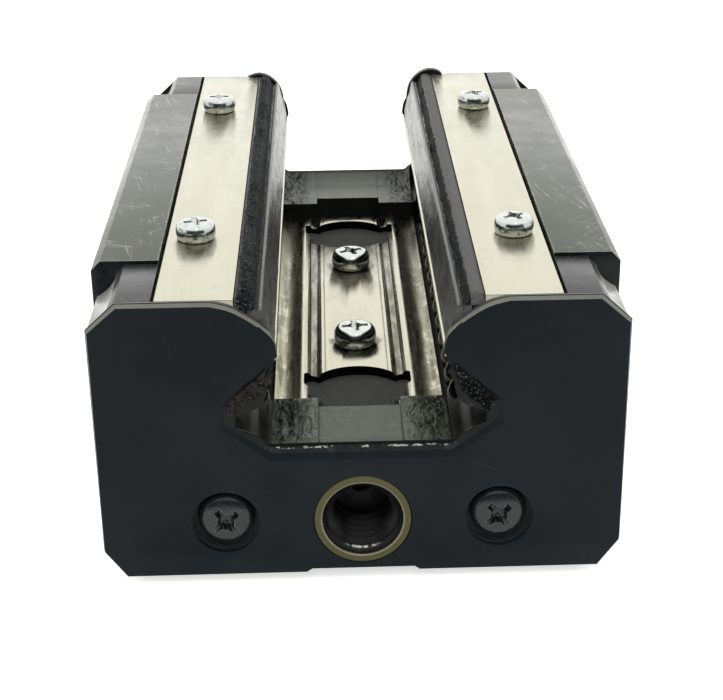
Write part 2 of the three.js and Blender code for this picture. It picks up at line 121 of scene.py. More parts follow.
def lathe(name, profile, seg=64, closed=False):
    """profile [(r, z)], turned about Z; ends lie on the axis unless closed."""
    v, f = [], []
    rings = []
    for r, z in profile:
        if r < 1e-9:
            rings.append([len(v)])
            v.append((0, 0, z))
        else:
            rings.append(list(range(len(v), len(v) + seg)))
            for i in range(seg):
                t = 2 * math.pi * i / seg
                v.append((r * math.cos(t), r * math.sin(t), z))
    pairs = list(zip(rings, rings[1:]))
    if closed:
        pairs.append((rings[-1], rings[0]))
    for a, b in pairs:
        for i in range(seg):
            k = (i + 1) % seg
            if len(a) == 1 and len(b) == 1:
                continue
            if len(a) == 1:
                f.append([a[0], b[k], b[i]])
            elif len(b) == 1:
                f.append([a[i], a[k], b[0]])
            else:
                f.append([a[i], a[k], b[k], b[i]])
    return new_object(name, v, f)


def apply_mods(o):
    dg = bpy.context.evaluated_depsgraph_get()
    me = bpy.data.meshes.new_from_object(o.evaluated_get(dg))
    o.modifiers.clear()
    old = o.data
    o.data = me
    me.name = o.name
    bpy.data.meshes.remove(old)
    return o


def remove(o):
    me = o.data
    bpy.data.objects.remove(o)
    if me.users == 0:
        bpy.data.meshes.remove(me)


def cut(o, *cutters, op="DIFFERENCE"):
    for c in cutters:
        m = o.modifiers.new("cut", "BOOLEAN")
        m.object = c
        m.operation = op
        m.solver = "EXACT"
    apply_mods(o)
    for c in cutters:
        remove(c)
    return o


def merge(o, *others):
    return cut(o, *others, op="UNION")


def soften(o, width=0.08, segments=2, angle=28, smooth=35, clamp=True):
    """Rounds the edges with a small bevel and shades by angle."""
    bm = bmesh.new()
    bm.from_mesh(o.data)
    bmesh.ops.remove_doubles(bm, verts=bm.verts, dist=2e-6)
    bmesh.ops.dissolve_limit(bm, angle_limit=math.radians(0.4), verts=bm.verts, edges=bm.edges)
    bm.to_mesh(o.data)
    bm.free()
    if width > 0:
        m = o.modifiers.new("soft", "BEVEL")
        m.width = width * S
        m.segments = segments
        m.limit_method = "ANGLE"
        m.angle_limit = math.radians(angle)
        m.use_clamp_overlap = clamp
        m.miter_outer = "MITER_ARC"
        m.harden_normals = False
        apply_mods(o)
    shade(o, smooth)
    return o


def shade(o, angle=35):
    for p in o.data.polygons:
        p.use_smooth = True
    o.data.set_sharp_from_angle(angle=math.radians(angle))


def place(o, mat, body="carriage", replaces=()):
    o.data.materials.clear()
    o.data.materials.append(mat)
    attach(o, body)
    if replaces:
        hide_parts(*replaces)
    return o


def copy_of(o, name, flip=(1, 1, 1), move=(0, 0, 0)):
    me = o.data.copy()
    c = bpy.data.objects.new(name, me)
    bpy.context.scene.collection.objects.link(c)
    m = Matrix.Diagonal((*flip, 1))
    me.transform(Matrix.Translation(Vector(move) * S) @ m)
    if flip[0] * flip[1] * flip[2] < 0:
        me.flip_normals()
    return c


def arc(cx, cz, r, a0, a1, n):
    return [(cx + r * math.cos(math.radians(a0 + (a1 - a0) * i / n)),
             cz + r * math.sin(math.radians(a0 + (a1 - a0) * i / n))) for i in range(n + 1)]


def curve(points, sub=6):
    """Catmull-Rom through the points, ends kept."""
    pts = [points[0], *points, points[-1]]
    out = []
    for i in range(1, len(pts) - 2):
        p0, p1, p2, p3 = (Vector(p) for p in pts[i - 1:i + 3])
        for k in range(sub):
            t = k / sub
            q = 0.5 * ((2 * p1) + (p2 - p0) * t + (2 * p0 - 5 * p1 + 4 * p2 - p3) * t * t
                       + (3 * p1 - p0 - 3 * p2 + p3) * t ** 3)
            out.append(tuple(q))
    out.append(tuple(points[-1]))
    return out


def symmetric(half):
    left = [(-x, z) for x, z in reversed(half)]
    pts = []
    for p in list(half) + left:
        if not pts or (Vector(p) - Vector(pts[-1])).length > 1e-6:
            pts.append(tuple(p))
    if (Vector(pts[0]) - Vector(pts[-1])).length < 1e-6:
        pts.pop()
    return pts


def grid_patch(name, nu, nv, fn):
    """fn(u, v) -> (x, y, z) in mm, u and v from 0 to 1."""
    v, f = [], []
    for j in range(nv + 1):
        for i in range(nu + 1):
            v.append(fn(i / nu, j / nv))
    for j in range(nv):
        for i in range(nu):
            a = j * (nu + 1) + i
            f.append([a, a + 1, a + nu + 2, a + nu + 1])
    return new_object(name, v, f)


# ----------------------------------------------------------------- materials
class Mat:
    """A small helper to write node trees."""

    def __init__(self, name):
        self.m = bpy.data.materials.new(name)
        self.m.use_nodes = True
        self.nt = self.m.node_tree
        self.bsdf = self.nt.nodes["Principled BSDF"]
        tc = self.nt.nodes.new("ShaderNodeTexCoord")
        mp = self.nt.nodes.new("ShaderNodeMapping")
        mp.inputs["Scale"].default_value = (1000, 1000, 1000)
        self.nt.links.new(tc.outputs["Object"], mp.inputs["Vector"])
        self.mm = mp.outputs["Vector"]          # position in millimetres

    def link(self, a, b):
        self.nt.links.new(a, b)

    def put(self, socket, value):
        if hasattr(value, "is_linked") or hasattr(value, "links"):
            self.link(value, socket)
        else:
            socket.default_value = value

    def mapped(self, scale=(1, 1, 1), rot=(0, 0, 0), loc=(0, 0, 0), src=None):
        n = self.nt.nodes.new("ShaderNodeMapping")
        n.inputs["Scale"].default_value = scale
        n.inputs["Rotation"].default_value = [math.radians(a) for a in rot]
        n.inputs["Location"].default_value = loc
        self.link(src or self.mm, n.inputs["Vector"])
        return n.outputs["Vector"]

    def noise(self, scale=1.0, detail=3.0, rough=0.55, src=None, dist=0.0, color=False):
        n = self.nt.nodes.new("ShaderNodeTexNoise")
        n.inputs["Scale"].default_value = scale
        n.inputs["Detail"].default_value = detail
        n.inputs["Roughness"].default_value = rough
        n.inputs["Distortion"].default_value = dist
        self.link(src or self.mm, n.inputs["Vector"])
        return n.outputs["Color"] if color else n.outputs["Fac"]

    def voronoi(self, scale=1.0, feature="F1", src=None, out="Distance"):
        n = self.nt.nodes.new("ShaderNodeTexVoronoi")
        n.feature = feature
        n.inputs["Scale"].default_value = scale
        self.link(src or self.mm, n.inputs["Vector"])
        return n.outputs[out]

    def math(self, op, a, b=0.0, c=0.0, clamp=False):
        n = self.nt.nodes.new("ShaderNodeMath")
        n.operation = op
        n.use_clamp = clamp
        self.put(n.inputs[0], a)
        self.put(n.inputs[1], b)
        if op in ("MULTIPLY_ADD", "SMOOTH_MIN", "SMOOTH_MAX", "COMPARE"):
            self.put(n.inputs[2], c)
        return n.outputs[0]

    def ramp(self, src, lo, hi, a=0.0, b=1.0, smooth=True):
        n = self.nt.nodes.new("ShaderNodeMapRange")
        n.interpolation_type = "SMOOTHSTEP" if smooth else "LINEAR"
        n.inputs["From Min"].default_value = lo
        n.inputs["From Max"].default_value = hi
        n.inputs["To Min"].default_value = a
        n.inputs["To Max"].default_value = b
        self.link(src, n.inputs["Value"])
        return n.outputs["Result"]

    def mix(self, fac, a, b):
        n = self.nt.nodes.new("ShaderNodeMix")
        n.data_type = "RGBA"
        self.put(n.inputs[0], fac)
        for s, v in ((n.inputs[6], a), (n.inputs[7], b)):
            if isinstance(v, (tuple, list)):
                s.default_value = (*v, 1.0) if len(v) == 3 else v
            else:
                self.link(v, s)
        return n.outputs[2]

    def xyz(self, src=None):
        n = self.nt.nodes.new("ShaderNodeSeparateXYZ")
        self.link(src or self.mm, n.inputs[0])
        return n.outputs[0], n.outputs[1], n.outputs[2]

    def normal_z(self):
        g = self.nt.nodes.new("ShaderNodeNewGeometry")
        n = self.nt.nodes.new("ShaderNodeSeparateXYZ")
        self.link(g.outputs["Normal"], n.inputs[0])
        return n.outputs[0], n.outputs[1], n.outputs[2]

    def bump(self, height, strength=0.3, distance=0.05, normal=None):
        n = self.nt.nodes.new("ShaderNodeBump")
        n.inputs["Strength"].default_value = strength
        n.inputs["Distance"].default_value = distance * S
        self.link(height, n.inputs["Height"])
        if normal is not None:
            self.link(normal, n.inputs["Normal"])
        return n.outputs["Normal"]

    def line(self, src, centre=0.5, width=0.01):
        """Thin line where src passes centre."""
        d = self.math("ABSOLUTE", self.math("SUBTRACT", src, centre))
        return self.ramp(d, 0.0, width, 1.0, 0.0)

    def scratches(self, angle, stretch=0.05, scale=1.2, width=0.006, cover=(0.52, 0.62), seed=0.0, plane="XY"):
        rot = (0, 0, angle) if plane == "XY" else (0, angle, 0)
        v = self.mapped(rot=rot, loc=(seed, seed * 0.7, seed * 0.3))
        v = self.mapped(scale=(stretch, 1, 1), src=v)
        hair = self.line(self.noise(scale, 2, 0.4, src=v), 0.5, width)
        gate = self.ramp(self.noise(0.22, 1, 0.5, src=self.mapped(loc=(seed * 3, 5, seed))), cover[0], cover[1])
        return self.math("MULTIPLY", hair, gate)

    def occlusion(self, dist, lo=0.4, hi=0.95):
        n = self.nt.nodes.new("ShaderNodeAmbientOcclusion")
        n.samples = 4
        n.inputs["Distance"].default_value = dist * S
        return self.ramp(n.outputs["AO"], lo, hi, 0.0, 1.0)

    def edge(self, radius=0.25, lo=0.985, hi=0.90):
        """1 on edges, 0 on flats."""
        b = self.nt.nodes.new("ShaderNodeBevel")
        b.samples = 4
        b.inputs["Radius"].default_value = radius * S
        g = self.nt.nodes.new("ShaderNodeNewGeometry")
        d = self.nt.nodes.new("ShaderNodeVectorMath")
        d.operation = "DOT_PRODUCT"
        self.link(b.outputs["Normal"], d.inputs[0])
        self.link(g.outputs["Normal"], d.inputs[1])
        return self.ramp(d.outputs["Value"], hi, lo, 1.0, 0.0)

    def set(self, **kw):
        names = dict(color="Base Color", metallic="Metallic", rough="Roughness", normal="Normal",
                     ior="IOR", coat="Coat Weight", coat_rough="Coat Roughness", spec="Specular IOR Level",
                     sheen="Sheen Weight", aniso="Anisotropic", emission="Emission Strength")
        for k, v in kw.items():
            s = self.bsdf.inputs[names[k]]
            if k == "color" and isinstance(v, (tuple, list)):
                s.default_value = (*v, 1.0)
            else:
                self.put(s, v)
        return self.m


def make_materials():
    M = {}

    # treated steel of the block: black finish, satin, worn bright at edges
    m = Mat("treated_steel")
    x, y, z = m.xyz()
    nx, ny, nz = m.normal_z()
    cloud = m.noise(0.35, 4, 0.6)
    fine = m.noise(9.0, 3, 0.6)
    top = m.ramp(nz, 0.7, 0.9)
    s1 = m.scratches(78, 0.04, 1.5, 0.010, (0.45, 0.6), 1.3)
    s2 = m.scratches(20, 0.05, 1.1, 0.008, (0.50, 0.62), 7.9)
    s3 = m.scratches(128, 0.05, 1.3, 0.007, (0.50, 0.6), 15.1)
    scr = m.math("MAXIMUM", s1, m.math("MAXIMUM", s2, s3))
    s4 = m.scratches(35, 0.05, 1.2, 0.008, (0.5, 0.6), 23.0, plane="XZ")
    e = m.math("MULTIPLY", m.edge(0.22), m.ramp(m.noise(1.3, 4, 0.65), 0.35, 0.6))
    wear = m.math("MAXIMUM", m.math("MULTIPLY", scr, 0.55), m.math("MULTIPLY", e, 0.75), clamp=True)
    wear = m.math("MAXIMUM", wear, m.math("MULTIPLY", s4, 0.12))
    # the ground raceways are bare steel, the slot floor stays dark and matt
    ax = m.math("ABSOLUTE", x)
    race = m.math("MULTIPLY", m.ramp(ax, 8.3, 8.7), m.ramp(ax, 12.4, 12.0))
    race = m.math("MULTIPLY", race, m.math("MULTIPLY", m.ramp(z, 9.9, 10.2), m.ramp(z, 20.2, 19.8)))
    floor = m.math("MULTIPLY", m.ramp(ax, 8.4, 8.0), m.math("MULTIPLY", m.ramp(z, 10.4, 10.2), m.ramp(z, 9.6, 9.9)))
    # painted shade: faces that look along the slot (the two ends of the block) are painted near black, with their wear
    # and specular cut
    face = m.ramp(m.math("ABSOLUTE", ny), 0.75, 0.9)
    wear = m.math("MULTIPLY", wear, m.math("SUBTRACT", 1.0, m.math("MULTIPLY", face, 0.97)))
    base = m.mix(cloud, (0.026, 0.031, 0.018), (0.040, 0.046, 0.029))
    base = m.mix(face, base, (0.004, 0.005, 0.006))
    base = m.mix(m.math("MULTIPLY", floor, 0.8), base, m.mix(m.noise(0.9, 4, 0.6), (0.042, 0.043, 0.041), (0.088, 0.090, 0.087)))
    wear = m.math("MULTIPLY", wear, m.math("SUBTRACT", 1.0, floor))
    col = m.mix(wear, base, (0.50, 0.50, 0.46))
    col = m.mix(m.math("MULTIPLY", race, 0.8), col, m.mix(cloud, (0.025, 0.025, 0.022), (0.070, 0.070, 0.060)))
    met = m.math("MAXIMUM", m.math("MULTIPLY", wear, 0.85), m.math("MULTIPLY", race, 0.8))
    rough = m.ramp(m.math("ADD", m.math("MULTIPLY", cloud, 0.6), m.math("MULTIPLY", fine, 0.4)), 0.3, 0.7, 0.20, 0.36)
    rough = m.math("ADD", rough, m.math("ADD", m.math("MULTIPLY", wear, 0.12), m.math("MULTIPLY", floor, 0.45)))
    spec = m.math("MULTIPLY", m.math("SUBTRACT", 1.0, m.math("MULTIPLY", face, 0.75)), m.math("SUBTRACT", 0.55, m.math("MULTIPLY", floor, 0.45)))
    h = m.math("ADD", m.math("MULTIPLY", fine, 0.25), m.math("MULTIPLY", scr, -0.8))
    M["block"] = m.set(color=col, metallic=met, rough=rough, normal=m.bump(h, 0.25, 0.03), ior=1.55, spec=spec)

    # end plates: satin black moulding with a film of grease
    m = Mat("moulded_black")
    cloud = m.noise(0.5, 4, 0.6)
    fine = m.noise(14.0, 2, 0.5)
    scr = m.math("MAXIMUM", m.scratches(60, 0.05, 1.6, 0.008, (0.5, 0.62), 3.0), m.scratches(150, 0.05, 1.3, 0.008, (0.5, 0.62), 11.0))
    col = m.mix(cloud, (0.017, 0.018, 0.020), (0.030, 0.031, 0.031))
    col = m.mix(m.math("MULTIPLY", scr, 0.35), col, (0.25, 0.25, 0.24))
    e = m.math("MULTIPLY", m.edge(0.15), m.ramp(m.noise(1.8, 3, 0.6), 0.35, 0.65))
    col = m.mix(m.math("MULTIPLY", e, 0.25), col, (0.20, 0.20, 0.20))
    nx, ny, nz = m.normal_z()
    # painted shade: the end plate's faces that look along the slot are painted near black
    upright_shade = m.ramp(m.math("ABSOLUTE", ny), 0.75, 0.9)
    col = m.mix(m.math("MULTIPLY", upright_shade, 0.75), col, (0.004, 0.005, 0.006))
    x, y, z = m.xyz()
    ax, ay = m.math("ABSOLUTE", x), m.math("ABSOLUTE", y)
    # painted shade: faces inside the slot are painted near black
    slot = m.math("MULTIPLY", m.ramp(ax, 13.5, 13.0), m.math("MULTIPLY", m.ramp(z, 22.2, 21.8), m.ramp(z, 11.0, 11.2)))
    col = m.mix(slot, col, m.mix(cloud, (0.004, 0.004, 0.004), (0.012, 0.012, 0.011)))
    # painted highlight: the rounded cove along the upper outer corners is painted light grey
    cove = m.math("MULTIPLY", m.math("MULTIPLY", m.ramp(ax, 19.66, 19.8), m.ramp(z, 25.2, 25.0)), m.math("MULTIPLY", m.ramp(ay, 26.2, 26.4), m.ramp(ay, 34.2, 34.0)))
    cove = m.math("MULTIPLY", cove, m.math("MULTIPLY", m.ramp(z, 22.3, 22.6), m.math("SUBTRACT", 1.0, upright_shade)))
    col = m.mix(cove, col, m.mix(m.noise(0.8, 3, 0.6), (0.17, 0.175, 0.16), (0.36, 0.365, 0.34)))
    rough = m.ramp(cloud, 0.3, 0.7, 0.24, 0.36)
    spec = m.math("SUBTRACT", 0.5, m.math("MULTIPLY", m.math("MAXIMUM", upright_shade, slot), 0.42))
    M["end"] = m.set(color=col, rough=rough, normal=m.bump(m.math("ADD", m.math("MULTIPLY", fine, 0.4), m.math("MULTIPLY", scr, -0.5)), 0.15, 0.03), ior=1.5, spec=spec)

    # end seals: matt black, slightly blue, fine grain and dust
    m = Mat("seal_black")
    cloud = m.noise(0.28, 5, 0.6)
    fine = m.noise(16.0, 3, 0.6)
    speck = m.ramp(m.voronoi(2.2, "F1"), 0.10, 0.04)
    speckgate = m.ramp(m.noise(0.9, 2, 0.5), 0.58, 0.66)
    speck = m.math("MULTIPLY", speck, speckgate)
    s1 = m.scratches(25, 0.05, 1.0, 0.007, (0.48, 0.62), 2.0, plane="XZ")
    s2 = m.scratches(100, 0.05, 1.2, 0.006, (0.5, 0.62), 9.0, plane="XZ")
    s3 = m.scratches(155, 0.06, 0.9, 0.006, (0.5, 0.62), 19.0, plane="XZ")
    scr = m.math("MAXIMUM", s1, m.math("MAXIMUM", s2, s3))
    nx, ny, nz = m.normal_z()
    upright_shade = m.ramp(m.math("ABSOLUTE", ny), 0.80, 0.95)
    x, y, z = m.xyz()
    lift = m.ramp(m.noise(0.11, 2, 0.5, src=m.mapped(loc=(3.0, 0, 1.0))), 0.35, 0.65)
    col = m.mix(cloud, (0.0022, 0.0044, 0.0056), (0.0042, 0.0068, 0.0086))
    col = m.mix(m.math("MULTIPLY", lift, 0.6), col, (0.0062, 0.0092, 0.0118))
    ax = m.math("ABSOLUTE", x)
    slot = m.math("MULTIPLY", m.ramp(ax, 13.5, 13.0), m.math("MULTIPLY", m.ramp(z, 20.6, 20.2), m.ramp(z, 11.0, 11.2)))
    slot_all = slot
    # painted light: the seal's faces that do not look along the slot, outside the slot and above z 10, are painted grey
    lit = m.math("MULTIPLY", m.math("SUBTRACT", 1.0, upright_shade), m.math("SUBTRACT", 1.0, slot_all))
    lit = m.math("MULTIPLY", lit, m.ramp(z, 9.2, 10.2))
    col = m.mix(lit, col, m.mix(m.noise(0.35, 3, 0.6), (0.070, 0.070, 0.057), (0.120, 0.120, 0.100)))
    # painted shade: the seal's faces inside the slot are painted near black
    slot = m.math("MULTIPLY", slot, m.math("SUBTRACT", 1.0, upright_shade))
    col = m.mix(slot, col, m.mix(cloud, (0.003, 0.004, 0.005), (0.008, 0.010, 0.011)))
    glint = m.math("MULTIPLY", m.ramp(m.noise(1.6, 4, 0.7, src=m.mapped(scale=(0.5, 1, 2))), 0.56, 0.62), m.line(z, 12.2, 0.35))
    col = m.mix(m.math("MULTIPLY", m.math("MULTIPLY", glint, slot), m.math("SUBTRACT", 1.0, upright_shade)), col, (0.25, 0.26, 0.24))
    col = m.mix(m.math("MULTIPLY", speck, 0.35), col, (0.045, 0.05, 0.055))
    col = m.mix(m.math("MULTIPLY", scr, 0.07), col, (0.05, 0.055, 0.06))
    e = m.math("MULTIPLY", m.edge(0.12), m.ramp(m.noise(2.0, 3, 0.6), 0.3, 0.65))
    col = m.mix(m.math("MULTIPLY", e, 0.10), col, (0.10, 0.11, 0.12))
    rough = m.ramp(m.math("ADD", m.math("MULTIPLY", cloud, 0.5), m.math("MULTIPLY", fine, 0.5)), 0.35, 0.65, 0.40, 0.56)
    spec = m.math("SUBTRACT", 0.6, m.math("MULTIPLY", m.math("MAXIMUM", upright_shade, slot_all), 0.50))
    h = m.math("ADD", m.math("MULTIPLY", fine, 0.6), m.math("MULTIPLY", scr, -0.6))
    M["seal"] = m.set(color=col, rough=rough, normal=m.bump(h, 0.22, 0.03), ior=1.5, spec=spec)

    # bright rolled stainless sheet
    def bright(name, stain):
        m = Mat(name)
        x, y, z = m.xyz()
        nx, ny, nz = m.normal_z()
        cloud = m.noise(0.16, 3, 0.55)
        rolled = m.noise(7.0, 3, 0.6, src=m.mapped(scale=(1, 0.05, 1)))
        smear = m.noise(0.45, 4, 0.65, src=m.mapped(scale=(1, 0.35, 1)), dist=0.6)
        s1 = m.scratches(86, 0.03, 1.2, 0.006, (0.5, 0.62), 4.0)
        s2 = m.scratches(12, 0.04, 1.0, 0.005, (0.5, 0.62), 12.0)
        s3 = m.scratches(137, 0.04, 1.0, 0.005, (0.52, 0.62), 21.0)
        scr = m.math("MAXIMUM", s1, m.math("MAXIMUM", s2, s3))
        col = m.mix(cloud, (0.545, 0.525, 0.415), (0.50, 0.485, 0.395))
        col = m.mix(m.math("MULTIPLY", scr, 0.30), col, (0.30, 0.29, 0.24))
        upright_shade = m.math("SUBTRACT", 1.0, m.ramp(m.math("ABSOLUTE", nz), 0.50, 0.80) if stain else m.ramp(m.math("ABSOLUTE", nz), 0.35, 0.6))
        # painted shade: the plain sheet's steep faces are painted darker
        if not stain:
            col = m.mix(m.math("MULTIPLY", upright_shade, 0.5), col, (0.10, 0.10, 0.08))
        rough = m.ramp(smear, 0.3, 0.75, 0.20, 0.34)
        if stain:
            ax = m.math("ABSOLUTE", x)
            wavy = m.math("ADD", ax, m.math("MULTIPLY", m.math("SUBTRACT", m.noise(0.7, 4, 0.6, src=m.mapped(scale=(1, 0.3, 1))), 0.5), 1.6))
            oil = m.math("MULTIPLY", m.ramp(wavy, 5.1, 5.7), m.ramp(m.noise(0.5, 4, 0.7), 0.34, 0.52))
            col = m.mix(m.math("MULTIPLY", oil, 0.70), col, m.mix(m.ramp(x, -0.5, 0.5), (0.30, 0.29, 0.19), (0.175, 0.165, 0.105)))
            rim = m.line(wavy, 5.40, 0.12)
            col = m.mix(m.math("MULTIPLY", rim, 0.7), col, (0.06, 0.055, 0.03))
            groove = m.math("MULTIPLY", m.ramp(ax, 3.25, 3.5), m.ramp(ax, 4.3, 4.05))
            gn = m.ramp(m.noise(1.1, 4, 0.6, src=m.mapped(scale=(1, 0.25, 1))), 0.3, 0.6)
            col = m.mix(m.math("MULTIPLY", groove, m.math("ADD", 0.35, m.math("MULTIPLY", gn, 0.5))), col, (0.085, 0.08, 0.06))
            hair = m.line(ax, 2.86, 0.07)
            col = m.mix(m.math("MULTIPLY", hair, 0.75), col, (0.10, 0.095, 0.07))
            # painted shade: a dark halo round the retainer screw heads
            sy = m.math("ABSOLUTE", m.math("SUBTRACT", m.math("ABSOLUTE", y), 10.2))
            rr = m.math("SQRT", m.math("ADD", m.math("POWER", sy, 2.0), m.math("POWER", ax, 2.0)))
            rr = m.math("ADD", rr, m.math("MULTIPLY", m.noise(1.1, 3, 0.6), 1.2))
            screw_halo_shade = m.math("MULTIPLY", m.ramp(rr, 3.3, 2.7), 0.75)
            col = m.mix(screw_halo_shade, col, (0.05, 0.05, 0.035))
            rough = m.math("ADD", rough, m.math("MULTIPLY", oil, 0.10))
            streaks = m.ramp(m.noise(1.0, 4, 0.65, src=m.mapped(scale=(1.5, 0.12, 1))), 0.50, 0.60)
            chan = m.math("MULTIPLY", m.ramp(ax, 5.6, 5.9), m.ramp(ax, 7.6, 7.45))
            col = m.mix(m.math("MULTIPLY", m.math("MULTIPLY", streaks, chan), 0.55), col, (0.065, 0.058, 0.038))
            # painted shade: the sheet in the pocket at the mouth of the end plate is painted dark and made non-metallic
            mouth_painted_light = m.math("MULTIPLY", m.ramp(ax, 3.75, 3.55), m.ramp(y, -22.3, -22.5))
            mouth_painted_light = m.math("MULTIPLY", mouth_painted_light, m.ramp(z, 12.0, 11.8))
            col = m.mix(mouth_painted_light, col, (0.035, 0.037, 0.033))
            # the sheet beside the ball rows, between z 12 and 19.6, is painted dark in streaks
            rows = m.math("MULTIPLY", m.ramp(z, 12.0, 12.3), m.ramp(z, 19.6, 19.3))
            col = m.mix(rows, col, m.mix(m.noise(0.9, 3, 0.6, src=m.mapped(scale=(1, 0.4, 1))), (0.012, 0.012, 0.012), (0.085, 0.083, 0.070)))
            low = m.ramp(z, 19.8, 20.0)
            col = m.mix(m.math("MULTIPLY", low, m.math("ADD", 0.35, m.math("MULTIPLY", streaks, 0.45))), col, (0.13, 0.13, 0.115))
            # painted shade: steep faces below z 19.8, the window walls among them, are painted near black
            col = m.mix(m.math("MULTIPLY", upright_shade, m.math("SUBTRACT", 1.0, low)), col, (0.003, 0.0035, 0.004))
            upright_shade = m.math("MAXIMUM", upright_shade, mouth_painted_light)
        h = m.math("ADD", m.math("MULTIPLY", rolled, 0.5), m.math("MULTIPLY", scr, -0.7))
        h = m.math("ADD", h, m.math("MULTIPLY", m.noise(0.12, 2, 0.5), 1.6))
        met = m.math("SUBTRACT", 1.0, m.math("MULTIPLY", upright_shade, 1.0 if stain else 0.3))
        if not stain:
            return m.set(color=col, metallic=met, rough=rough, normal=m.bump(h, 0.16, 0.04), aniso=0.3)
        return m.set(color=col, metallic=met, rough=rough, normal=m.bump(h, 0.16, 0.04), aniso=0.3,
                     spec=m.math("SUBTRACT", 0.5, m.math("MULTIPLY", upright_shade, 0.49)))
    M["plate"] = bright("bright_sheet", False)
    M["retainer"] = bright("bright_sheet_oiled", True)

    # rubber of the side lips: gritty bands on top, a painted reflection on the flank that brightens towards the rear
    m = Mat("lip_rubber")
    x, y, z = m.xyz()
    ax = m.math("ABSOLUTE", x)
    fine = m.noise(5.0, 4, 0.65)
    grit = m.noise(3.2, 4, 0.75)
    cloud = m.noise(0.7, 4, 0.6)
    left = m.ramp(x, 0.1, -0.1)
    wob = m.math("MULTIPLY", m.math("SUBTRACT", m.noise(0.9, 3, 0.6, src=m.mapped(scale=(0.3, 1, 0.3))), 0.5), 0.5)
    bx = m.math("ADD", ax, wob)
    upper = m.ramp(z, 24.35, 24.5)
    pale = m.math("MULTIPLY", m.math("MULTIPLY", m.ramp(bx, 8.66, 8.78), upper), m.math("SUBTRACT", 1.0, m.math("MULTIPLY", left, m.ramp(bx, 9.80, 9.60))))
    band = m.math("MULTIPLY", m.math("MULTIPLY", upper, m.ramp(bx, 8.08, 8.18)), m.math("SUBTRACT", 1.0, pale))
    crest = m.math("MULTIPLY", m.ramp(ax, 7.62, 7.72), m.math("MULTIPLY", m.ramp(ax, 8.10, 7.98), upper))
    flank = m.math("SUBTRACT", 1.0, m.math("MAXIMUM", pale, m.math("MAXIMUM", band, crest)))
    streak = m.noise(0.8, 4, 0.65, src=m.mapped(scale=(1.6, 0.20, 1.6)), dist=0.6)
    along = m.ramp(m.math("ADD", y, m.math("MULTIPLY", m.math("SUBTRACT", cloud, 0.5), 26.0)), -14.0, 12.0)
    # painted reflection: light streaks on the flank, brighter towards the rear
    flank_reflection = m.math("MULTIPLY", flank, m.math("MULTIPLY", m.math("ADD", 0.12, m.math("MULTIPLY", along, 0.88)), m.ramp(streak, 0.40, 0.50)))
    col = m.mix(cloud, (0.008, 0.009, 0.011), (0.020, 0.020, 0.023))
    col = m.mix(pale, col, m.mix(grit, (0.015, 0.015, 0.015), (0.075, 0.076, 0.070)))
    col = m.mix(band, col, (0.0035, 0.0040, 0.0050))
    # painted glints on the gritty bands
    spark = m.math("MULTIPLY", m.ramp(m.noise(6.5, 3, 0.7), 0.60, 0.66), m.math("MAXIMUM", band, m.math("MULTIPLY", pale, 0.4)))
    col = m.mix(m.math("MULTIPLY", spark, 0.75), col, (0.22, 0.23, 0.24))
    # painted highlight: a light streak along the crest of the lip
    col = m.mix(m.math("MULTIPLY", crest, 0.7), col, m.mix(streak, (0.03, 0.03, 0.027), (0.12, 0.12, 0.108)))
    col = m.mix(m.math("MULTIPLY", flank_reflection, 0.85), col, m.mix(m.noise(2.2, 3, 0.6, src=m.mapped(scale=(1.4, 0.3, 1.4))), (0.16, 0.165, 0.155), (0.42, 0.42, 0.40)))
    rough = m.ramp(fine, 0.35, 0.65, 0.26, 0.42)
    rough = m.math("ADD", rough, m.math("MULTIPLY", m.math("MAXIMUM", band, pale), 0.25))
    dull = m.math("MULTIPLY", flank, m.math("SUBTRACT", 1.0, along))
    spec = m.math("SUBTRACT", 0.5, m.math("ADD", m.math("MULTIPLY", dull, 0.30), m.math("ADD", m.math("MULTIPLY", band, 0.44), m.math("MULTIPLY", pale, 0.12))))
    hh = m.math("ADD", m.math("MULTIPLY", fine, 0.4), m.math("MULTIPLY", m.math("MULTIPLY", grit, m.math("MAXIMUM", band, pale)), 1.6))
    M["lip"] = m.set(color=col, rough=rough, normal=m.bump(hh, 0.6, 0.08), ior=1.5, spec=spec)

    # wiper lip of the seals: black rubber with painted sheen patches and painted glints along the lip
    m = Mat("wiper_rubber")
    c = m.noise(1.3, 4, 0.65)
    shine = m.ramp(m.noise(0.55, 3, 0.6, dist=0.5), 0.56, 0.66)
    col = m.mix(c, (0.002, 0.0024, 0.0027), (0.007, 0.0078, 0.0082))
    col = m.mix(m.math("MULTIPLY", shine, 0.45), col, (0.026, 0.028, 0.027))
    x, y, z = m.xyz()
    # painted glints: bright specks in a line along the lip at z 12.4
    lip_glints = m.math("MULTIPLY", m.ramp(m.noise(2.2, 4, 0.75, src=m.mapped(scale=(0.55, 1, 1))), 0.54, 0.60), m.line(z, 12.42, 0.16))
    lip_glints = m.math("MULTIPLY", lip_glints, m.ramp(m.math("ABSOLUTE", x), 8.4, 8.0))
    col = m.mix(lip_glints, col, (0.34, 0.35, 0.33))
    M["wiper"] = m.set(color=col, rough=m.ramp(c, 0.3, 0.7, 0.20, 0.38), normal=m.bump(m.noise(4.0, 4, 0.65), 0.35, 0.05), ior=1.5, spec=0.12)

    # bright zinc screws: faces that do not look up (head sides, recess walls) painted darker as shade, with dark dirt
    # spots weighted onto them
    m = Mat("bright_zinc")
    cloud = m.noise(1.6, 3, 0.6)
    nx, ny, nz = m.normal_z()
    # painted shade: faces that do not look up are painted darker
    side = m.ramp(nz, 0.75, 0.25)
    col = m.mix(cloud, (0.62, 0.64, 0.61), (0.50, 0.52, 0.50))
    col = m.mix(m.math("MULTIPLY", side, 0.5), col, (0.22, 0.25, 0.23))
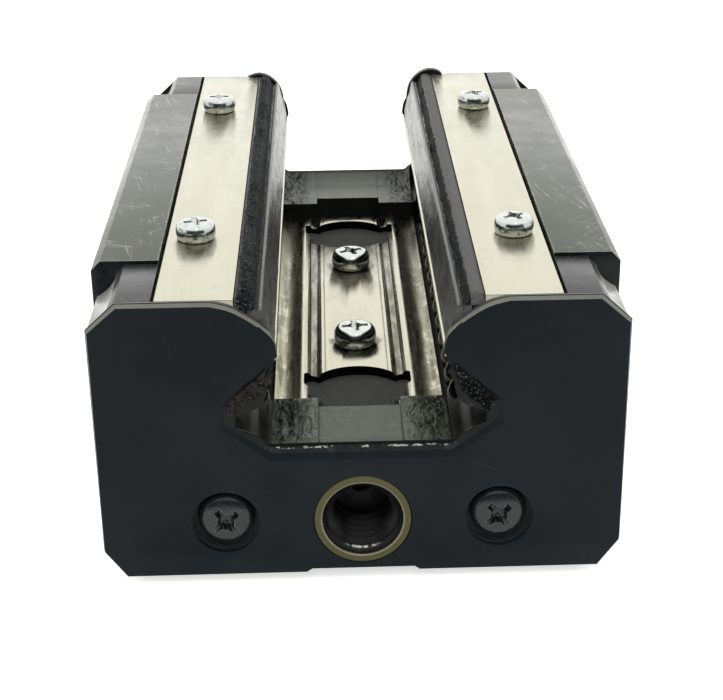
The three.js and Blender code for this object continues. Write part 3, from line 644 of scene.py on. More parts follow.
    # dark dirt spots, heavier on the steep faces where they add to the painted shade
    spots = m.ramp(m.noise(1.5, 4, 0.7, src=m.mapped(loc=(9, 3, 1))), 0.52, 0.62)
    col = m.mix(m.math("MULTIPLY", spots, m.math("ADD", 0.25, m.math("MULTIPLY", side, 0.6))), col, (0.035, 0.045, 0.045))
    rough = m.ramp(m.noise(2.5, 3, 0.6), 0.3, 0.7, 0.10, 0.22)
    M["zinc"] = m.set(color=col, metallic=1.0, rough=rough, normal=m.bump(m.noise(3.0, 3, 0.6), 0.18, 0.05))

    # black oxide end screws
    m = Mat("black_oxide")
    cloud = m.noise(2.0, 3, 0.6)
    col = m.mix(cloud, (0.004, 0.005, 0.006), (0.009, 0.011, 0.013))
    e = m.math("MULTIPLY", m.edge(0.10), m.ramp(m.noise(4.0, 3, 0.6), 0.35, 0.65))
    col = m.mix(m.math("MULTIPLY", e, 0.55), col, (0.35, 0.35, 0.33))
    rough = m.ramp(m.noise(3.0, 3, 0.6), 0.3, 0.7, 0.16, 0.30)
    M["blackscrew"] = m.set(color=col, rough=rough, metallic=m.math("MULTIPLY", e, 0.4), normal=m.bump(m.noise(4.0, 3, 0.6), 0.25, 0.04), ior=1.5, spec=0.42)

    # brass insert: turned end ring, the thread behind it painted near black and not metallic
    m = Mat("brass_insert")
    x, y, z = m.xyz()
    r = m.math("SQRT", m.math("ADD", m.math("POWER", x, 2.0), m.math("POWER", m.math("SUBTRACT", z, INSERT_Z), 2.0)))
    turned = m.noise(22.0, 2, 0.6, src=None)
    brush = m.noise(9.0, 3, 0.6, src=m.mapped(scale=(0.35, 1, 1.6), rot=(0, 35, 0)))
    col = m.mix(brush, (0.048, 0.045, 0.021), (0.104, 0.098, 0.055))
    deep = m.ramp(m.math("ABSOLUTE", y), 34.86, 34.70)
    col = m.mix(deep, col, (0.006, 0.006, 0.006))
    e = m.math("MULTIPLY", m.math("MULTIPLY", m.ramp(r, 3.52, 3.46), m.ramp(r, 3.3, 3.38)), m.math("SUBTRACT", 1.0, deep))
    col = m.mix(m.math("MULTIPLY", e, 0.45), col, (0.34, 0.33, 0.27))
    met = m.ramp(deep, 0.0, 1.0, 1.0, 0.0)
    rough = m.ramp(deep, 0.0, 1.0, 0.42, 0.22)
    # painted highlight: a bright crescent at the bottom of the bore
    mouth_painted_light = m.math("MULTIPLY", m.line(m.math("ABSOLUTE", y), 34.2, 0.16), m.ramp(z, INSERT_Z - 2.6, INSERT_Z - 3.2))
    col = m.mix(m.math("MULTIPLY", mouth_painted_light, m.ramp(m.noise(2.2, 3, 0.6), 0.42, 0.55)), col, (0.62, 0.62, 0.58))
    spec = m.ramp(deep, 0.0, 1.0, 0.5, 0.10)
    M["brass"] = m.set(color=col, metallic=met, rough=rough, normal=m.bump(m.math("ADD", brush, m.math("MULTIPLY", turned, 0.4)), 0.25, 0.03), spec=spec)

    # bearing balls with an oil film
    m = Mat("bearing_steel")
    film = m.noise(1.2, 3, 0.6)
    col = m.mix(film, (0.085, 0.085, 0.075), (0.030, 0.030, 0.026))
    M["ball"] = m.set(color=col, metallic=1.0, rough=m.ramp(film, 0.3, 0.7, 0.06, 0.20), normal=m.bump(film, 0.06, 0.05))

    # inner guide plastic
    m = Mat("guide_plastic")
    c = m.noise(2.0, 3, 0.6)
    M["guide"] = m.set(color=m.mix(c, (0.03, 0.032, 0.036), (0.05, 0.052, 0.056)), rough=m.ramp(c, 0.3, 0.7, 0.4, 0.55), normal=m.bump(m.noise(12, 2, 0.5), 0.15, 0.03))

    # greases
    m = Mat("grease_grey")
    x, y, z = m.xyz()
    ax = m.math("ABSOLUTE", x)
    c = m.noise(0.8, 5, 0.65, src=m.mapped(scale=(1, 0.45, 1)), dist=0.8)
    crack = m.line(m.noise(0.75, 4, 0.6, src=m.mapped(scale=(1.5, 0.30, 1)), dist=1.0), 0.5, 0.040)
    crack = m.math("MAXIMUM", crack, m.line(m.noise(1.7, 4, 0.6, src=m.mapped(scale=(1.2, 0.5, 1), loc=(5, 2, 1)), dist=0.8), 0.5, 0.020))
    side = m.ramp(ax, 4.0, 5.6)
    blot = m.math("MULTIPLY", m.ramp(m.noise(0.85, 4, 0.7, src=m.mapped(scale=(1.5, 0.45, 1), loc=(2, 8, 4)), dist=0.7), 0.53, 0.60), side)
    dark = m.math("MAXIMUM", m.math("MULTIPLY", crack, m.math("ADD", 0.10, m.math("MULTIPLY", side, 0.90))), blot)
    # dark lines along the seams at |x| 3.5, and painted shade where the film rises against the rear lip
    wall = m.math("MAXIMUM", m.line(ax, 3.5, 0.07), m.ramp(y, 34.1, 34.3))
    dark = m.math("MAXIMUM", dark, m.math("MULTIPLY", wall, 0.55))
    col = m.mix(c, (0.038, 0.044, 0.030), (0.072, 0.080, 0.058))
    col = m.mix(m.math("MULTIPLY", side, 0.30), col, (0.030, 0.034, 0.027))
    col = m.mix(m.ramp(y, 0.0, 1.0), col, m.mix(c, (0.085, 0.092, 0.078), (0.150, 0.158, 0.138)))
    col = m.mix(m.math("MULTIPLY", dark, 0.9), col, (0.006, 0.006, 0.005))
    rough = m.ramp(c, 0.3, 0.7, 0.18, 0.34)
    spec = m.math("MULTIPLY", 0.24, m.math("SUBTRACT", 1.0, m.math("MULTIPLY", dark, 0.9)))
    M["film"] = m.set(color=col, rough=m.math("ADD", rough, 0.06), normal=m.bump(m.math("SUBTRACT", c, m.math("MULTIPLY", dark, 0.8)), 0.3, 0.08), ior=1.45, spec=spec)

    m = Mat("grease_black")
    c = m.noise(2.5, 4, 0.65)
    glint = m.ramp(m.noise(5.5, 3, 0.7), 0.61, 0.66)
    col = m.mix(c, (0.002, 0.002, 0.002), (0.010, 0.011, 0.012))
    col = m.mix(m.math("MULTIPLY", glint, 0.8), col, (0.30, 0.31, 0.31))
    M["grease_black"] = m.set(color=col, rough=m.ramp(c, 0.3, 0.7, 0.16, 0.34), normal=m.bump(m.noise(5.0, 4, 0.7), 0.8, 0.10), ior=1.48, spec=0.14)

    m = Mat("grease_brown")
    c = m.noise(1.6, 4, 0.65)
    glint = m.ramp(m.noise(4.5, 3, 0.7), 0.64, 0.68)
    col = m.mix(m.ramp(c, 0.40, 0.62), (0.003, 0.003, 0.003), (0.016, 0.012, 0.009))
    col = m.mix(m.math("MULTIPLY", glint, 0.7), col, (0.24, 0.24, 0.22))
    M["grease_brown"] = m.set(color=col, rough=m.ramp(c, 0.3, 0.7, 0.20, 0.42), normal=m.bump(m.noise(5.0, 4, 0.7), 0.5, 0.06), ior=1.48, spec=0.12)
    return M


MAT = make_materials()


# ------------------------------------------------------------------- outlines
OUTER = [(0, 1.1), (4.3, 1.1), (4.75, 0.8), (19.75, 0.8), (21.6, 3.2), (21.6, 23.1), (19.2, 25.3)]
LEG_TOP = curve([(11.8, 25.3), (10.2, 24.85), (8.6, 23.9), (7.55, 23.0), (6.85, 22.1), (6.6, 20.8)], 5)


def slot_contour(floor, bump_r, clear=0.0):
    """Rail-shaped slot with a bump into each ball groove of the rail."""
    x = ROW_X - 0.1
    pts = [(7.4 - clear, 18.7)]
    pts += arc(x, ROW_LO, bump_r, 172, 262, 12)
    pts += [(10.4, 15.45), (10.4, 14.05)]
    up = arc(x, ROW_UP, bump_r, 98, 168, 10)
    pts += [p for p in up if p[1] > floor + 0.15]
    pts += [(7.62, floor), (0, floor)]
    return pts


# -------------------------------------------------------------- steel block
def build_block():
    half = [(0, 0), (W / 2 - 0.5, 0), (W / 2, 0.5), (W / 2, K - 0.8), (W / 2 - 0.8, K),
            (STEP_X, K), (STEP_X, SEAT_Z), (LEG_X, SEAT_Z)]
    half += arc(ROW_X, ROW_LO, RACE_R, 112, -15, 22)
    half += [(WEB_X, 16.2), (WEB_X, 13.3)]
    half += arc(ROW_X, ROW_UP, RACE_R, 15, -121, 22)
    half += [(0, FLOOR_Z)]
    o = prism_y("block_body", symmetric(half), -BLOCK_Y, BLOCK_Y)
    cuts = []
    for sx in (-1, 1):
        for z in (RET_UP, RET_LO):
            cuts.append(cyl("c", "Y", (sx * RET_X, z), RET_R, -BLOCK_Y - 1, BLOCK_Y + 1, 40))
        for sy in (-1, 1):
            # tapped M5 hole: chamfer and V grooves of the thread
            prof = [(0, -1.0), (2.95, -1.0), (2.62, 0.02)]
            zz = 0.35
            prof.append((2.12, 0.32))
            while zz < 5.2:
                prof += [(2.12, zz), (2.5, zz + 0.4), (2.12, zz + 0.8)]
                zz += 0.8
            prof += [(2.12, 6.0), (0, 7.2)]
            t = lathe("c", prof, 40)
            t.data.transform(Matrix.Translation((sx * 16 * S, sy * 18 * S, 0)))
            cuts.append(t)
            cuts.append(cyl("c", "Z", (sx * SCREW_X, sy * SCREW_Y), 1.02, 21.95, SEAT_Z + 1, 24))
            y0, y1 = (-BLOCK_Y - 1, -BLOCK_Y + 7) if sy < 0 else (BLOCK_Y - 7, BLOCK_Y + 1)
            cuts.append(cyl("c", "Y", (sx * ESX, ESZ), 1.55, y0, y1, 32))
    for sy in (-1, 1):
        cuts.append(cyl("c", "Z", (0, sy * 10.2), 1.02, 6.2, FLOOR_Z + 1, 24))
    cut(o, *cuts)
    soften(o, 0.10, 2, 40, 40)
    return place(o, MAT["block"], replaces=("carriage_block",))


# ---------------------------------------------------------------- end plates
def circuit(upper):
    load = Vector((ROW_X, ROW_UP if upper else ROW_LO))
    back = Vector((RET_X, RET_UP if upper else RET_LO))
    d = back - load
    R = d.length / 2
    d.normalize()
    mid = (load + back) / 2
    return load, back, d, R, mid


def to_plane(c, p):
    """Circuit coordinates (along d, y, across) to the row frame."""
    load, back, d, R, mid = c
    n = Vector((-d.y, d.x))
    return (mid.x + d.x * p[0] + n.x * p[2], p[1], mid.y + d.y * p[0] + n.y * p[2])


def turn_pocket(c, r=2.12, steps=20, sides=24):
    R = c[3]
    path = [(-R, -END_Y0 + 2)]
    path += [(-R * math.cos(math.pi * i / steps), -TURN_Y - R * math.sin(math.pi * i / steps)) for i in range(steps + 1)]
    path += [(R, -END_Y0 + 2)]
    v, f = [], []
    n = len(path)
    for i in range(n):
        a, b = Vector(path[max(0, i - 1)]), Vector(path[min(n - 1, i + 1)])
        t = (b - a).normalized()
        s = Vector((-t.y, t.x))
        for k in range(sides):
            w = 2 * math.pi * k / sides
            v.append(to_plane(c, (path[i][0] + r * math.cos(w) * s.x, path[i][1] + r * math.cos(w) * s.y, r * math.sin(w))))
    for i in range(n - 1):
        for k in range(sides):
            q = (k + 1) % sides
            f.append([i * sides + k, i * sides + q, (i + 1) * sides + q, (i + 1) * sides + k])
    f.append(list(range(sides)))
    f.append([(n - 1) * sides + sides - 1 - k for k in range(sides)])
    return new_object("pocket", v, f)


def build_end_plate():
    top = [(STEP_X, 25.3), (STEP_X, SEAT_Z), (LEG_X + 0.05, SEAT_Z), (LEG_X + 0.05, 19.65), (7.15, 19.65)]
    o = prism_y("end_plate_body", symmetric(OUTER + top + slot_contour(END_FLOOR, 1.95)), -END_Y1, -END_Y0)
    tongue = box("c", -7.5, 7.5, -END_Y0 - 1.5, -25.85, FLOOR_Z + 0.04, END_FLOOR)
    merge(o, tongue)
    cuts = [box("c", -3.55, 3.55, -27.7, -24.4, FLOOR_Z + 0.04, 13.6)]
    for sx in (-1, 1):
        cuts.append(cyl("c", "Y", (sx * 22.95, 25.65), 3.3, -END_Y1 - 1, -END_Y0 + 1, 128))
        cuts.append(cyl("c", "Y", (sx * ESX, ESZ), 1.6, -END_Y1 - 1, -END_Y0 + 1, 32))
        cuts.append(cyl("c", "Y", (sx * ESX, ESZ), 2.8, -END_Y1 - 1, -SEAL_Y1 + 1.3, 64))
    cuts.append(cyl("c", "Y", (0, INSERT_Z), 4.12, -END_Y1 - 1, -28.4, 64))
    cuts.append(cyl("c", "Y", (0, INSERT_Z), 1.0, -29, -END_Y0 + 1, 24))
    cut(o, *cuts)
    for upper in (True, False):
        c = circuit(upper)
        p = turn_pocket(c)
        q = copy_of(p, "pocket_l", (-1, 1, 1))
        cut(o, p, q)
    soften(o, 0.08, 2, 40, 38)
    return o


# ----------------------------------------------------------------- end seals
def inset_outer(d):
    """Outer outline with its upper and side edges drawn in by d."""
    return [(0, 1.1), (4.3, 1.1), (4.75, 0.8), (19.75, 0.8), (21.6 - d * 0.35, 3.2),
            (21.6 - d * 0.55, 23.1 - d * 0.6), (19.2 - d * 0.55, 25.3 - d)]


def build_seal():
    def front(d, c):
        top = [(x, z - d * (1.0 if x > 8 else 0.5)) for x, z in LEG_TOP]
        rec = [(11.6 - c, 16.3 - c * 0.35), (11.6 - c, 14.5 + c * 0.3), (7.5 - c * 0.35, 11.4 + c), (0, 11.4 + c)]
        return symmetric(inset_outer(d) + top + rec)
    o = loft_y("end_seal_body", [(-SEAL_Y1, front(0.30, 0.0)), (-SEAL_Y1 + 0.1, front(0.22, 0.16)), (-SEAL_STEP, front(0.07, 0.70))])
    back = prism_y("c", symmetric(OUTER + LEG_TOP + slot_contour(LIP_FLOOR, 1.9)), -SEAL_STEP - 0.01, -SEAL_Y0)
    merge(o, back)
    cuts = [cyl("c", "Y", (0, INSERT_Z), 4.12, -SEAL_Y1 - 1, -SEAL_Y0 + 1, 96)]
    for sx in (-1, 1):
        cuts.append(cyl("c", "Y", (sx * ESX, ESZ), 2.85, -SEAL_Y1 - 1, -SEAL_Y0 + 1, 96))
    cut(o, *cuts)
    soften(o, 0.045, 2, 26, 35)
    return o


def build_wiper(rear=False):
    """The thin lip that wipes the rail, standing in the band of the seal."""
    outer = [(0, 11.8), (7.6, 11.8), (11.1, 14.4), (11.1, 16.2), (7.3, 19.4)]
    if rear:
        inner = [(6.95, 18.9)] + arc(ROW_X - 0.15, ROW_LO, 2.0, 170, 225, 10)
        inner += [(8.2, 16.1), (7.85, 15.4), (7.65, 14.7), (7.4, 14.25), (7.1, 14.02), (6.7, REAR_LIP), (0, REAR_LIP)]
        o = prism_y("wiper", symmetric(outer + inner), -34.5, -34.36)
    else:
        inner = [(6.95, 18.9)] + arc(ROW_X - 0.15, ROW_LO, 2.0, 170, 262, 14) + [(10.15, 15.3), (10.15, 14.2)]
        inner += [p for p in arc(ROW_X - 0.15, ROW_UP, 2.0, 98, 165, 10) if p[1] > LIP_FLOOR + 0.15] + [(7.45, LIP_FLOOR), (0, LIP_FLOOR)]
        o = prism_y("wiper", symmetric(outer + inner), -34.72, -34.5)
    soften(o, 0.05, 2, 30, 35)
    return o


# --------------------------------------------------------------------- screws
def pan_screw(name, head_r, head_h, shank_r, shank_l, wing, seg=72, dome=0.0):
    """Axis +Z, underside of the head at z = 0, Phillips recess."""
    prof = [(0, head_h)]
    for t in (0.15, 0.3, 0.45, 0.6, 0.72):
        prof.append((head_r * t, head_h * (1 - 0.05 * t * t)))
    prof += [(head_r * 0.80, head_h * 0.955), (head_r * 0.87, head_h * 0.90), (head_r * 0.93, head_h * 0.81),
             (head_r * 0.972, head_h * 0.69), (head_r * 0.995, head_h * 0.55), (head_r, head_h * 0.42), (head_r * 0.99, head_h * 0.27),
             (head_r * 0.965, head_h * 0.14), (head_r * 0.93, 0.03), (head_r * 0.89, 0.0), (shank_r * 1.15, 0.0), (shank_r, -0.12)]
    z = -0.2
    pitch = shank_r * 0.42
    while z > -shank_l + pitch:
        prof += [(shank_r, z), (shank_r * 0.84, z - pitch / 2), (shank_r, z - pitch)]
        z -= pitch
    prof += [(shank_r * 0.9, -shank_l + 0.1), (shank_r * 0.5, -shank_l), (0, -shank_l)]
    clean = [prof[0]]
    for p in prof[1:]:
        if abs(p[0] - clean[-1][0]) + abs(p[1] - clean[-1][1]) > 1e-5:
            clean.append(p)
    if dome:
        clean = [(a, b * (1 - dome * (a / head_r) ** 2) if b > head_h * 0.3 else b) for a, b in clean]
    o = lathe(name, clean, seg)
    # four tapered wings and a centre cone
    def wedge(axis):
        zt, zb = head_h + 0.2, head_h * 0.22
        lt, lb = wing * 1.10, wing * 0.52
        wt, wb = wing * 0.24, wing * 0.15
        v = []
        for z0, l, w in ((zb, lb, wb), (zt, lt, wt)):
            for a, b in ((-l, -w), (l, -w), (l, w), (-l, w)):
                v.append((a, b, z0) if axis == 0 else (-b, a, z0))
        f = [[0, 1, 2, 3], [7, 6, 5, 4], [0, 4, 5, 1], [1, 5, 6, 2], [2, 6, 7, 3], [3, 7, 4, 0]]
        return new_object("w", v, f)
    cone = lathe("w", [(0, head_h * 0.02), (wing * 0.40, head_h * 0.3), (wing * 0.56, head_h + 0.2), (0, head_h + 0.2)], 24)
    cut(o, wedge(0), wedge(1), cone)
    soften(o, 0.028, 2, 38, 40)
    return o


def turned(o, name, spin, move, to_front=0):
    c = copy_of(o, name)
    m = Matrix.Rotation(math.radians(spin), 4, "Z")
    if to_front:
        m = Matrix.Rotation(math.radians(90 * to_front), 4, "X") @ m
    c.data.transform(Matrix.Translation(Vector(move) * S) @ m)
    return c


# ------------------------------------------------------------ plates and lips
def build_side_plate():
    o = box("side_plate", PLATE_X0, PLATE_X1, -PLATE_Y, PLATE_Y, PLATE_Z0, PLATE_Z1)
    cut(o, *[cyl("c", "Z", (SCREW_X, sy * SCREW_Y), 1.1, PLATE_Z0 - 1, PLATE_Z1 + 1, 32) for sy in (-1, 1)])
    soften(o, 0.10, 3, 40, 35)
    return o


LIP = [(9.87, 24.9), (9.86, 25.22), (9.6, 25.40), (9.2, 25.46), (8.85, 25.38), (8.62, 25.12), (8.46, 24.76), (8.3, 24.5),
       (8.16, 24.44), (8.03, 24.52), (7.93, 24.62), (7.8, 24.64), (7.68, 24.5), (7.58, 24.2), (7.42, 23.5), (7.2, 22.7), (7.0, 21.9),
       (6.88, 21.3), (6.85, 20.98), (7.2, 20.95), (8.84, 20.95), (8.84, 24.46), (9.87, 24.46)]


def build_lip(name, seed, band):
    """Rubber strip; band = (x0, x1) where grease and grit cling to it."""
    n = len(LIP)
    dense = []
    for i in range(n):
        a, b = Vector(LIP[i]), Vector(LIP[(i + 1) % n])
        sub = 4 if 1 <= i <= 10 else (3 if i <= 17 else 1)
        for k in range(sub):
            p = a.lerp(b, k / sub)
            dense.append((p.x, p.y, i))
    steps = 560
    v, f = [], []
    m = len(dense)
    for j in range(steps + 1):
        t = j / steps
        y = -PLATE_Y + 2 * PLATE_Y * t
        # the strip closes with a rounded end
        tip = max(0.0, 1 - min(PLATE_Y - abs(y), 0.5) / 0.5)
        for x, z, st in dense:
            dz = dx = 0.0
            if 1 <= st <= 17:
                q = Vector((x * 3.2 + seed, y * 3.2, z * 3.2))
                dz = 0.014 * noise.noise(q * 1.6)
                if band[0] < x < band[1] and st <= 9:
                    w = min(1, (x - band[0]) * 5, (band[1] - x) * 5)
                    load = max(0.0, 0.35 + 1.3 * noise.noise((y * 0.3 + seed, 3.1, seed)))
                    g = abs(noise.noise(q * 1.25)) + 0.7 * abs(noise.noise(q * 2.7)) + 0.3 * noise.noise(q * 5.1)
                    dz += w * (0.05 + 0.20 * load) * g
                if st >= 12:
                    wave = noise.noise((y * 0.22 + seed, z * 0.6, 9.0)) + 0.5 * noise.noise((y * 0.9 + seed, z * 1.5, 2.0))
                    dx = -0.07 * wave * min(1, (st - 11) / 3) * (0 if st > 17 else 1)
                dz -= 0.35 * tip * tip * max(0.0, (x - 6.8) / 3.0) * (1 if st <= 12 else 0.3)
            v.append((x + dx, y, z + dz))
    for j in range(steps):
        for k in range(m):
            q = (k + 1) % m
            f.append([j * m + k, j * m + q, (j + 1) * m + q, (j + 1) * m + k])
    f.append(list(range(m)))
    f.append([steps * m + m - 1 - k for k in range(m)])
    o = new_object(name, v, f)
    shade(o, 50)
    return o


def build_centre_retainer():
    half = [(0, FLOOR_Z + 0.04), (7.5, FLOOR_Z + 0.04), (7.52, 10.9), (7.42, 11.02), (7.2, 10.96), (6.95, 10.74), (6.6, 10.68),
            (5.95, 10.70), (5.7, 10.80), (5.45, 11.0), (5.15, 11.12), (4.8, 11.14), (4.5, 11.06), (4.32, 10.92), (4.2, 10.74),
            (4.05, 10.68), (3.6, 10.68), (3.45, 10.74), (3.3, 10.92), (3.15, 10.99), (2.95, 11.0), (2.9, 10.97), (2.84, 10.97), (2.79, 11.0), (0, 11.0)]
    o = prism_y("centre_retainer", symmetric(half), -25.8, 25.8)
    cuts = []
    for sy in (-1, 1):
        cuts.append(cyl("c", "Z", (0, sy * HOLE_Y), HOLE_R, 9, 12, 96))
        for sx in (-1, 1):
            for k in (0.9, 1.4, 1.9, 2.4):
                cuts.append(cyl("c", "Z", (sx * 4.16, sy * HOLE_Y + k), 0.70, 9, 12, 40))
        cuts.append(cyl("c", "Z", (0, sy * 10.2), 1.1, 9, 12, 32))
    cut(o, *cuts)
    soften(o, 0.04, 2, 40, 40)
    return o


def build_lower_strip():
    pts = [(6.72, 20.12), (6.72, 20.52), (6.8, 20.6), (8.84, 20.86), (8.84, 20.3), (8.2, 19.85), (7.4, 19.98), (6.8, 20.05)]
    o = prism_y("lower_strip", pts, -PLATE_Y, PLATE_Y)
    soften(o, 0.04, 2, 40, 40)
    return o


# -------------------------------------------------------------- brass insert
def build_insert():
    prof = [(4.07, -28.6), (4.07, -34.92), (3.99, -35.0), (3.44, -35.0), (3.37, -34.93), (3.34, -34.55), (3.0, -34.15)]
    y = -34.1
    while y < -29.2:
        prof += [(3.0, y), (2.98, y + 0.08), (2.52, y + 0.46), (2.52, y + 0.54), (2.98, y + 0.92)]
        y += 1.0
    prof += [(2.6, -28.6)]
    clean = [prof[0]]
    for p in prof[1:]:
        if abs(p[0] - clean[-1][0]) + abs(p[1] - clean[-1][1]) > 1e-5:
            clean.append(p)
    seg = 96
    v, f = [], []
    n = len(clean)
    for k in range(seg):
        t = 2 * math.pi * k / seg
        for r, yy in clean:
            # the thread advance per turn is worked out, then multiplied by zero, so the grooves stay plain rings
            adv = (k / seg) if (r < 3.01 and -34.11 < yy < -29.15) else 0.0
            v.append((r * math.cos(t), yy + adv * 0.0, INSERT_Z + r * math.sin(t)))
    for k in range(seg):
        q = (k + 1) % seg
        for i in range(n):
            j = (i + 1) % n
            f.append([k * n + i, k * n + j, q * n + j, q * n + i])
    o = new_object("insert", v, f)
    shade(o, 35)
    return o


# ----------------------------------------------------------------- the balls
def ball_mesh(name, centres, r=BALL_R, seg=32, rings=20):
    v, f = [], []
    for c in centres:
        b = len(v)
        v.append((c[0], c[1], c[2] + r))
        for i in range(1, rings):
            a = math.pi * i / rings
            for k in range(seg):
                t = 2 * math.pi * k / seg
                v.append((c[0] + r * math.sin(a) * math.cos(t), c[1] + r * math.sin(a) * math.sin(t), c[2] + r * math.cos(a)))
        v.append((c[0], c[1], c[2] - r))
        last = len(v) - 1
        for k in range(seg):
            q = (k + 1) % seg
            f.append([b, b + 1 + k, b + 1 + q])
            for i in range(rings - 2):
                o0 = b + 1 + i * seg
                f.append([o0 + k, o0 + seg + k, o0 + seg + q, o0 + q])
            o1 = b + 1 + (rings - 2) * seg
            f.append([o1 + k, last, o1 + q])
    o = new_object(name, v, f)
    shade(o, 60)
    return o


# --------------------------------------------------------------- assemble it
build_block()

end_plate = build_end_plate()
place(end_plate, MAT["end"], replaces=("front_end_plate",))
end_plate.name = "end_plate_front"
rear = copy_of(end_plate, "end_plate_rear", (1, -1, 1))
place(rear, MAT["end"], replaces=("rear_end_plate",))

seal = build_seal()
seal.name = "end_seal_front"
place(seal, MAT["seal"], replaces=("front_end_seal",))
rear = copy_of(seal, "end_seal_rear", (1, -1, 1))
place(rear, MAT["seal"], replaces=("rear_end_seal",))

wiper = build_wiper()
wiper.name = "wiper_lip_front"
place(wiper, MAT["wiper"])
for sx, up in ((-1, 0.0), (1, 0.22)):
    top = curve([(11.3, 25.25), (10.9, 25.44 + up), (10.2, 25.66 + up), (9.5, 25.65 + up), (8.6, 25.29 + up), (7.7, 24.45 + up), (7.2, 23.3 + up), (7.05, 21.7)], 4)
    pts = [(sx * a, b) for a, b in top + [(8.3, 21.3), (11.3, 24.6)]]
    cap = prism_y("leg_end_cap_left" if sx < 0 else "leg_end_cap_right", pts if sx > 0 else pts[::-1], 33.9, 34.96)
    soften(cap, 0.20, 4, 30, 60)
    place(cap, MAT["wiper"])
wiper = build_wiper(True)
rear = copy_of(wiper, "wiper_lip_rear", (1, -1, 1))
remove(wiper)
shade(rear, 35)
place(rear, MAT["wiper"])

ins = build_insert()
ins.name = "nipple_thread_front"
place(ins, MAT["brass"], replaces=("front_nipple_insert",))
rear = copy_of(ins, "nipple_thread_rear", (1, -1, 1))
place(rear, MAT["brass"], replaces=("rear_nipple_insert",))

plate_screw = pan_screw("plate_screw", 1.72, 1.5, 0.95, 3.2, 1.0)
spins = {("left", "front"): 12, ("left", "rear"): 3, ("right", "front"): 28, ("right", "rear"): 20}
for side, sx in (("left", -1), ("right", 1)):
    for end, sy in (("front", -1), ("rear", 1)):
        o = turned(plate_screw, f"screw_{side}_{end}", spins[(side, end)], (sx * SCREW_X, sy * SCREW_Y, PLATE_Z1 + 0.02))
        shade(o, 40)
        place(o, MAT["zinc"], replaces=(f"{side}_plate_screw_{end}",))
remove(plate_screw)
ret_screw = pan_screw("ret_screw", 2.0, 1.75, 0.95, 4.5, 1.2)
for end, sy, spin in (("front", -1, 8), ("rear", 1, 24)):
    o = turned(ret_screw, f"screw_retainer_{end}", spin, (0, sy * 10.2, 11.02))
    shade(o, 40)
    place(o, MAT["zinc"], replaces=(f"retainer_screw_{end}",))
remove(ret_screw)
end_screw = pan_screw("end_screw", 2.3, 1.22, 1.45, 13.0, 1.35, dome=0.38)
for end, sy, f in (("front", -1, 1), ("rear", 1, -1)):
    for side, sx, spin in (("left", -1, 38), ("right", 1, 40)):
        o = turned(end_screw, f"screw_{end}_{side}", spin, (sx * ESX, sy * (SEAL_Y1 - 1.28), ESZ), to_front=f)
        shade(o, 40)
        place(o, MAT["blackscrew"], replaces=(f"{end}_end_screw_{side}",))
remove(end_screw)

sp = build_side_plate()
sp.name = "cover_strip_right"
place(sp, MAT["plate"], replaces=("right_side_seal_plate",))
o = copy_of(sp, "cover_strip_left", (-1, 1, 1))
place(o, MAT["plate"], replaces=("left_side_seal_plate",))

o = build_lip("lip_right", 3.7, (7.95, 8.75))
place(o, MAT["lip"], replaces=("right_side_seal_lip",))
t = build_lip("lip_left_src", 11.3, (8.25, 9.55))
o = copy_of(t, "lip_left", (-1, 1, 1))
remove(t)
shade(o, 50)
place(o, MAT["lip"], replaces=("left_side_seal_lip",))

ls = build_lower_strip()
ls.name = "ball_strip_right"
place(ls, MAT["plate"], replaces=("right_lower_ball_retainer",))
o = copy_of(ls, "ball_strip_left", (-1, 1, 1))
place(o, MAT["plate"], replaces=("left_lower_ball_retainer",))

ms = prism_y("mid_strip_right", [(10.1, 14.25), (10.1, 15.25), (10.3, 15.4), (11.14, 15.5), (11.14, 14.0), (10.3, 14.1)], -25.9, 25.9)
soften(ms, 0.04, 2, 40, 40)
place(ms, MAT["plate"], replaces=("right_middle_ball_retainer",))
o = copy_of(ms, "mid_strip_left", (-1, 1, 1))
place(o, MAT["plate"], replaces=("left_middle_ball_retainer",))

cr = build_centre_retainer()
cr.name = "floor_retainer"
place(cr, MAT["retainer"], replaces=("centre_ball_retainer",))

for level in ("upper", "lower"):
    c = circuit(level == "upper")
    load, back, d, R, mid = c
    ys = [(i - (ROW_BALLS - 1) / 2) * PITCH for i in range(ROW_BALLS)]
    first = ys[-1] + PITCH - TURN_Y
    angs = [(first + i * PITCH) / R for i in range(3)]
    for side, sx in (("left", -1), ("right", 1)):
        base = f"{side}_{level}"
        o = ball_mesh(f"balls_load_{base}", [(sx * load.x, y, load.y) for y in ys])
        place(o, MAT["ball"], body=f"load_row_{base}", replaces=(f"load_balls_{base}",))
        o = ball_mesh(f"balls_return_{base}", [(sx * back.x, y, back.y) for y in ys], seg=20, rings=12)
        place(o, MAT["ball"], body=f"return_row_{base}", replaces=(f"return_balls_{base}",))
        for end, sy in (("front", -1), ("rear", 1)):
            cs = []
            for a in angs:
                p = to_plane(c, (-R * math.cos(a), -TURN_Y - R * math.sin(a), 0))
                cs.append((sx * p[0], -sy * p[1], p[2]))
            o = ball_mesh(f"balls_turn_{end}_{base}", cs, r=BALL_R - 0.26, seg=20, rings=12)
            place(o, MAT["ball"], body=f"{end}_turn_{base}", replaces=(f"{end}_turn_balls_{base}",))
            # core pin of the bend
            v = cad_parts[f"turnaround_core_{end}_{side}_{level}"]
            v.data.materials.clear()
            v.data.materials.append(MAT["guide"])


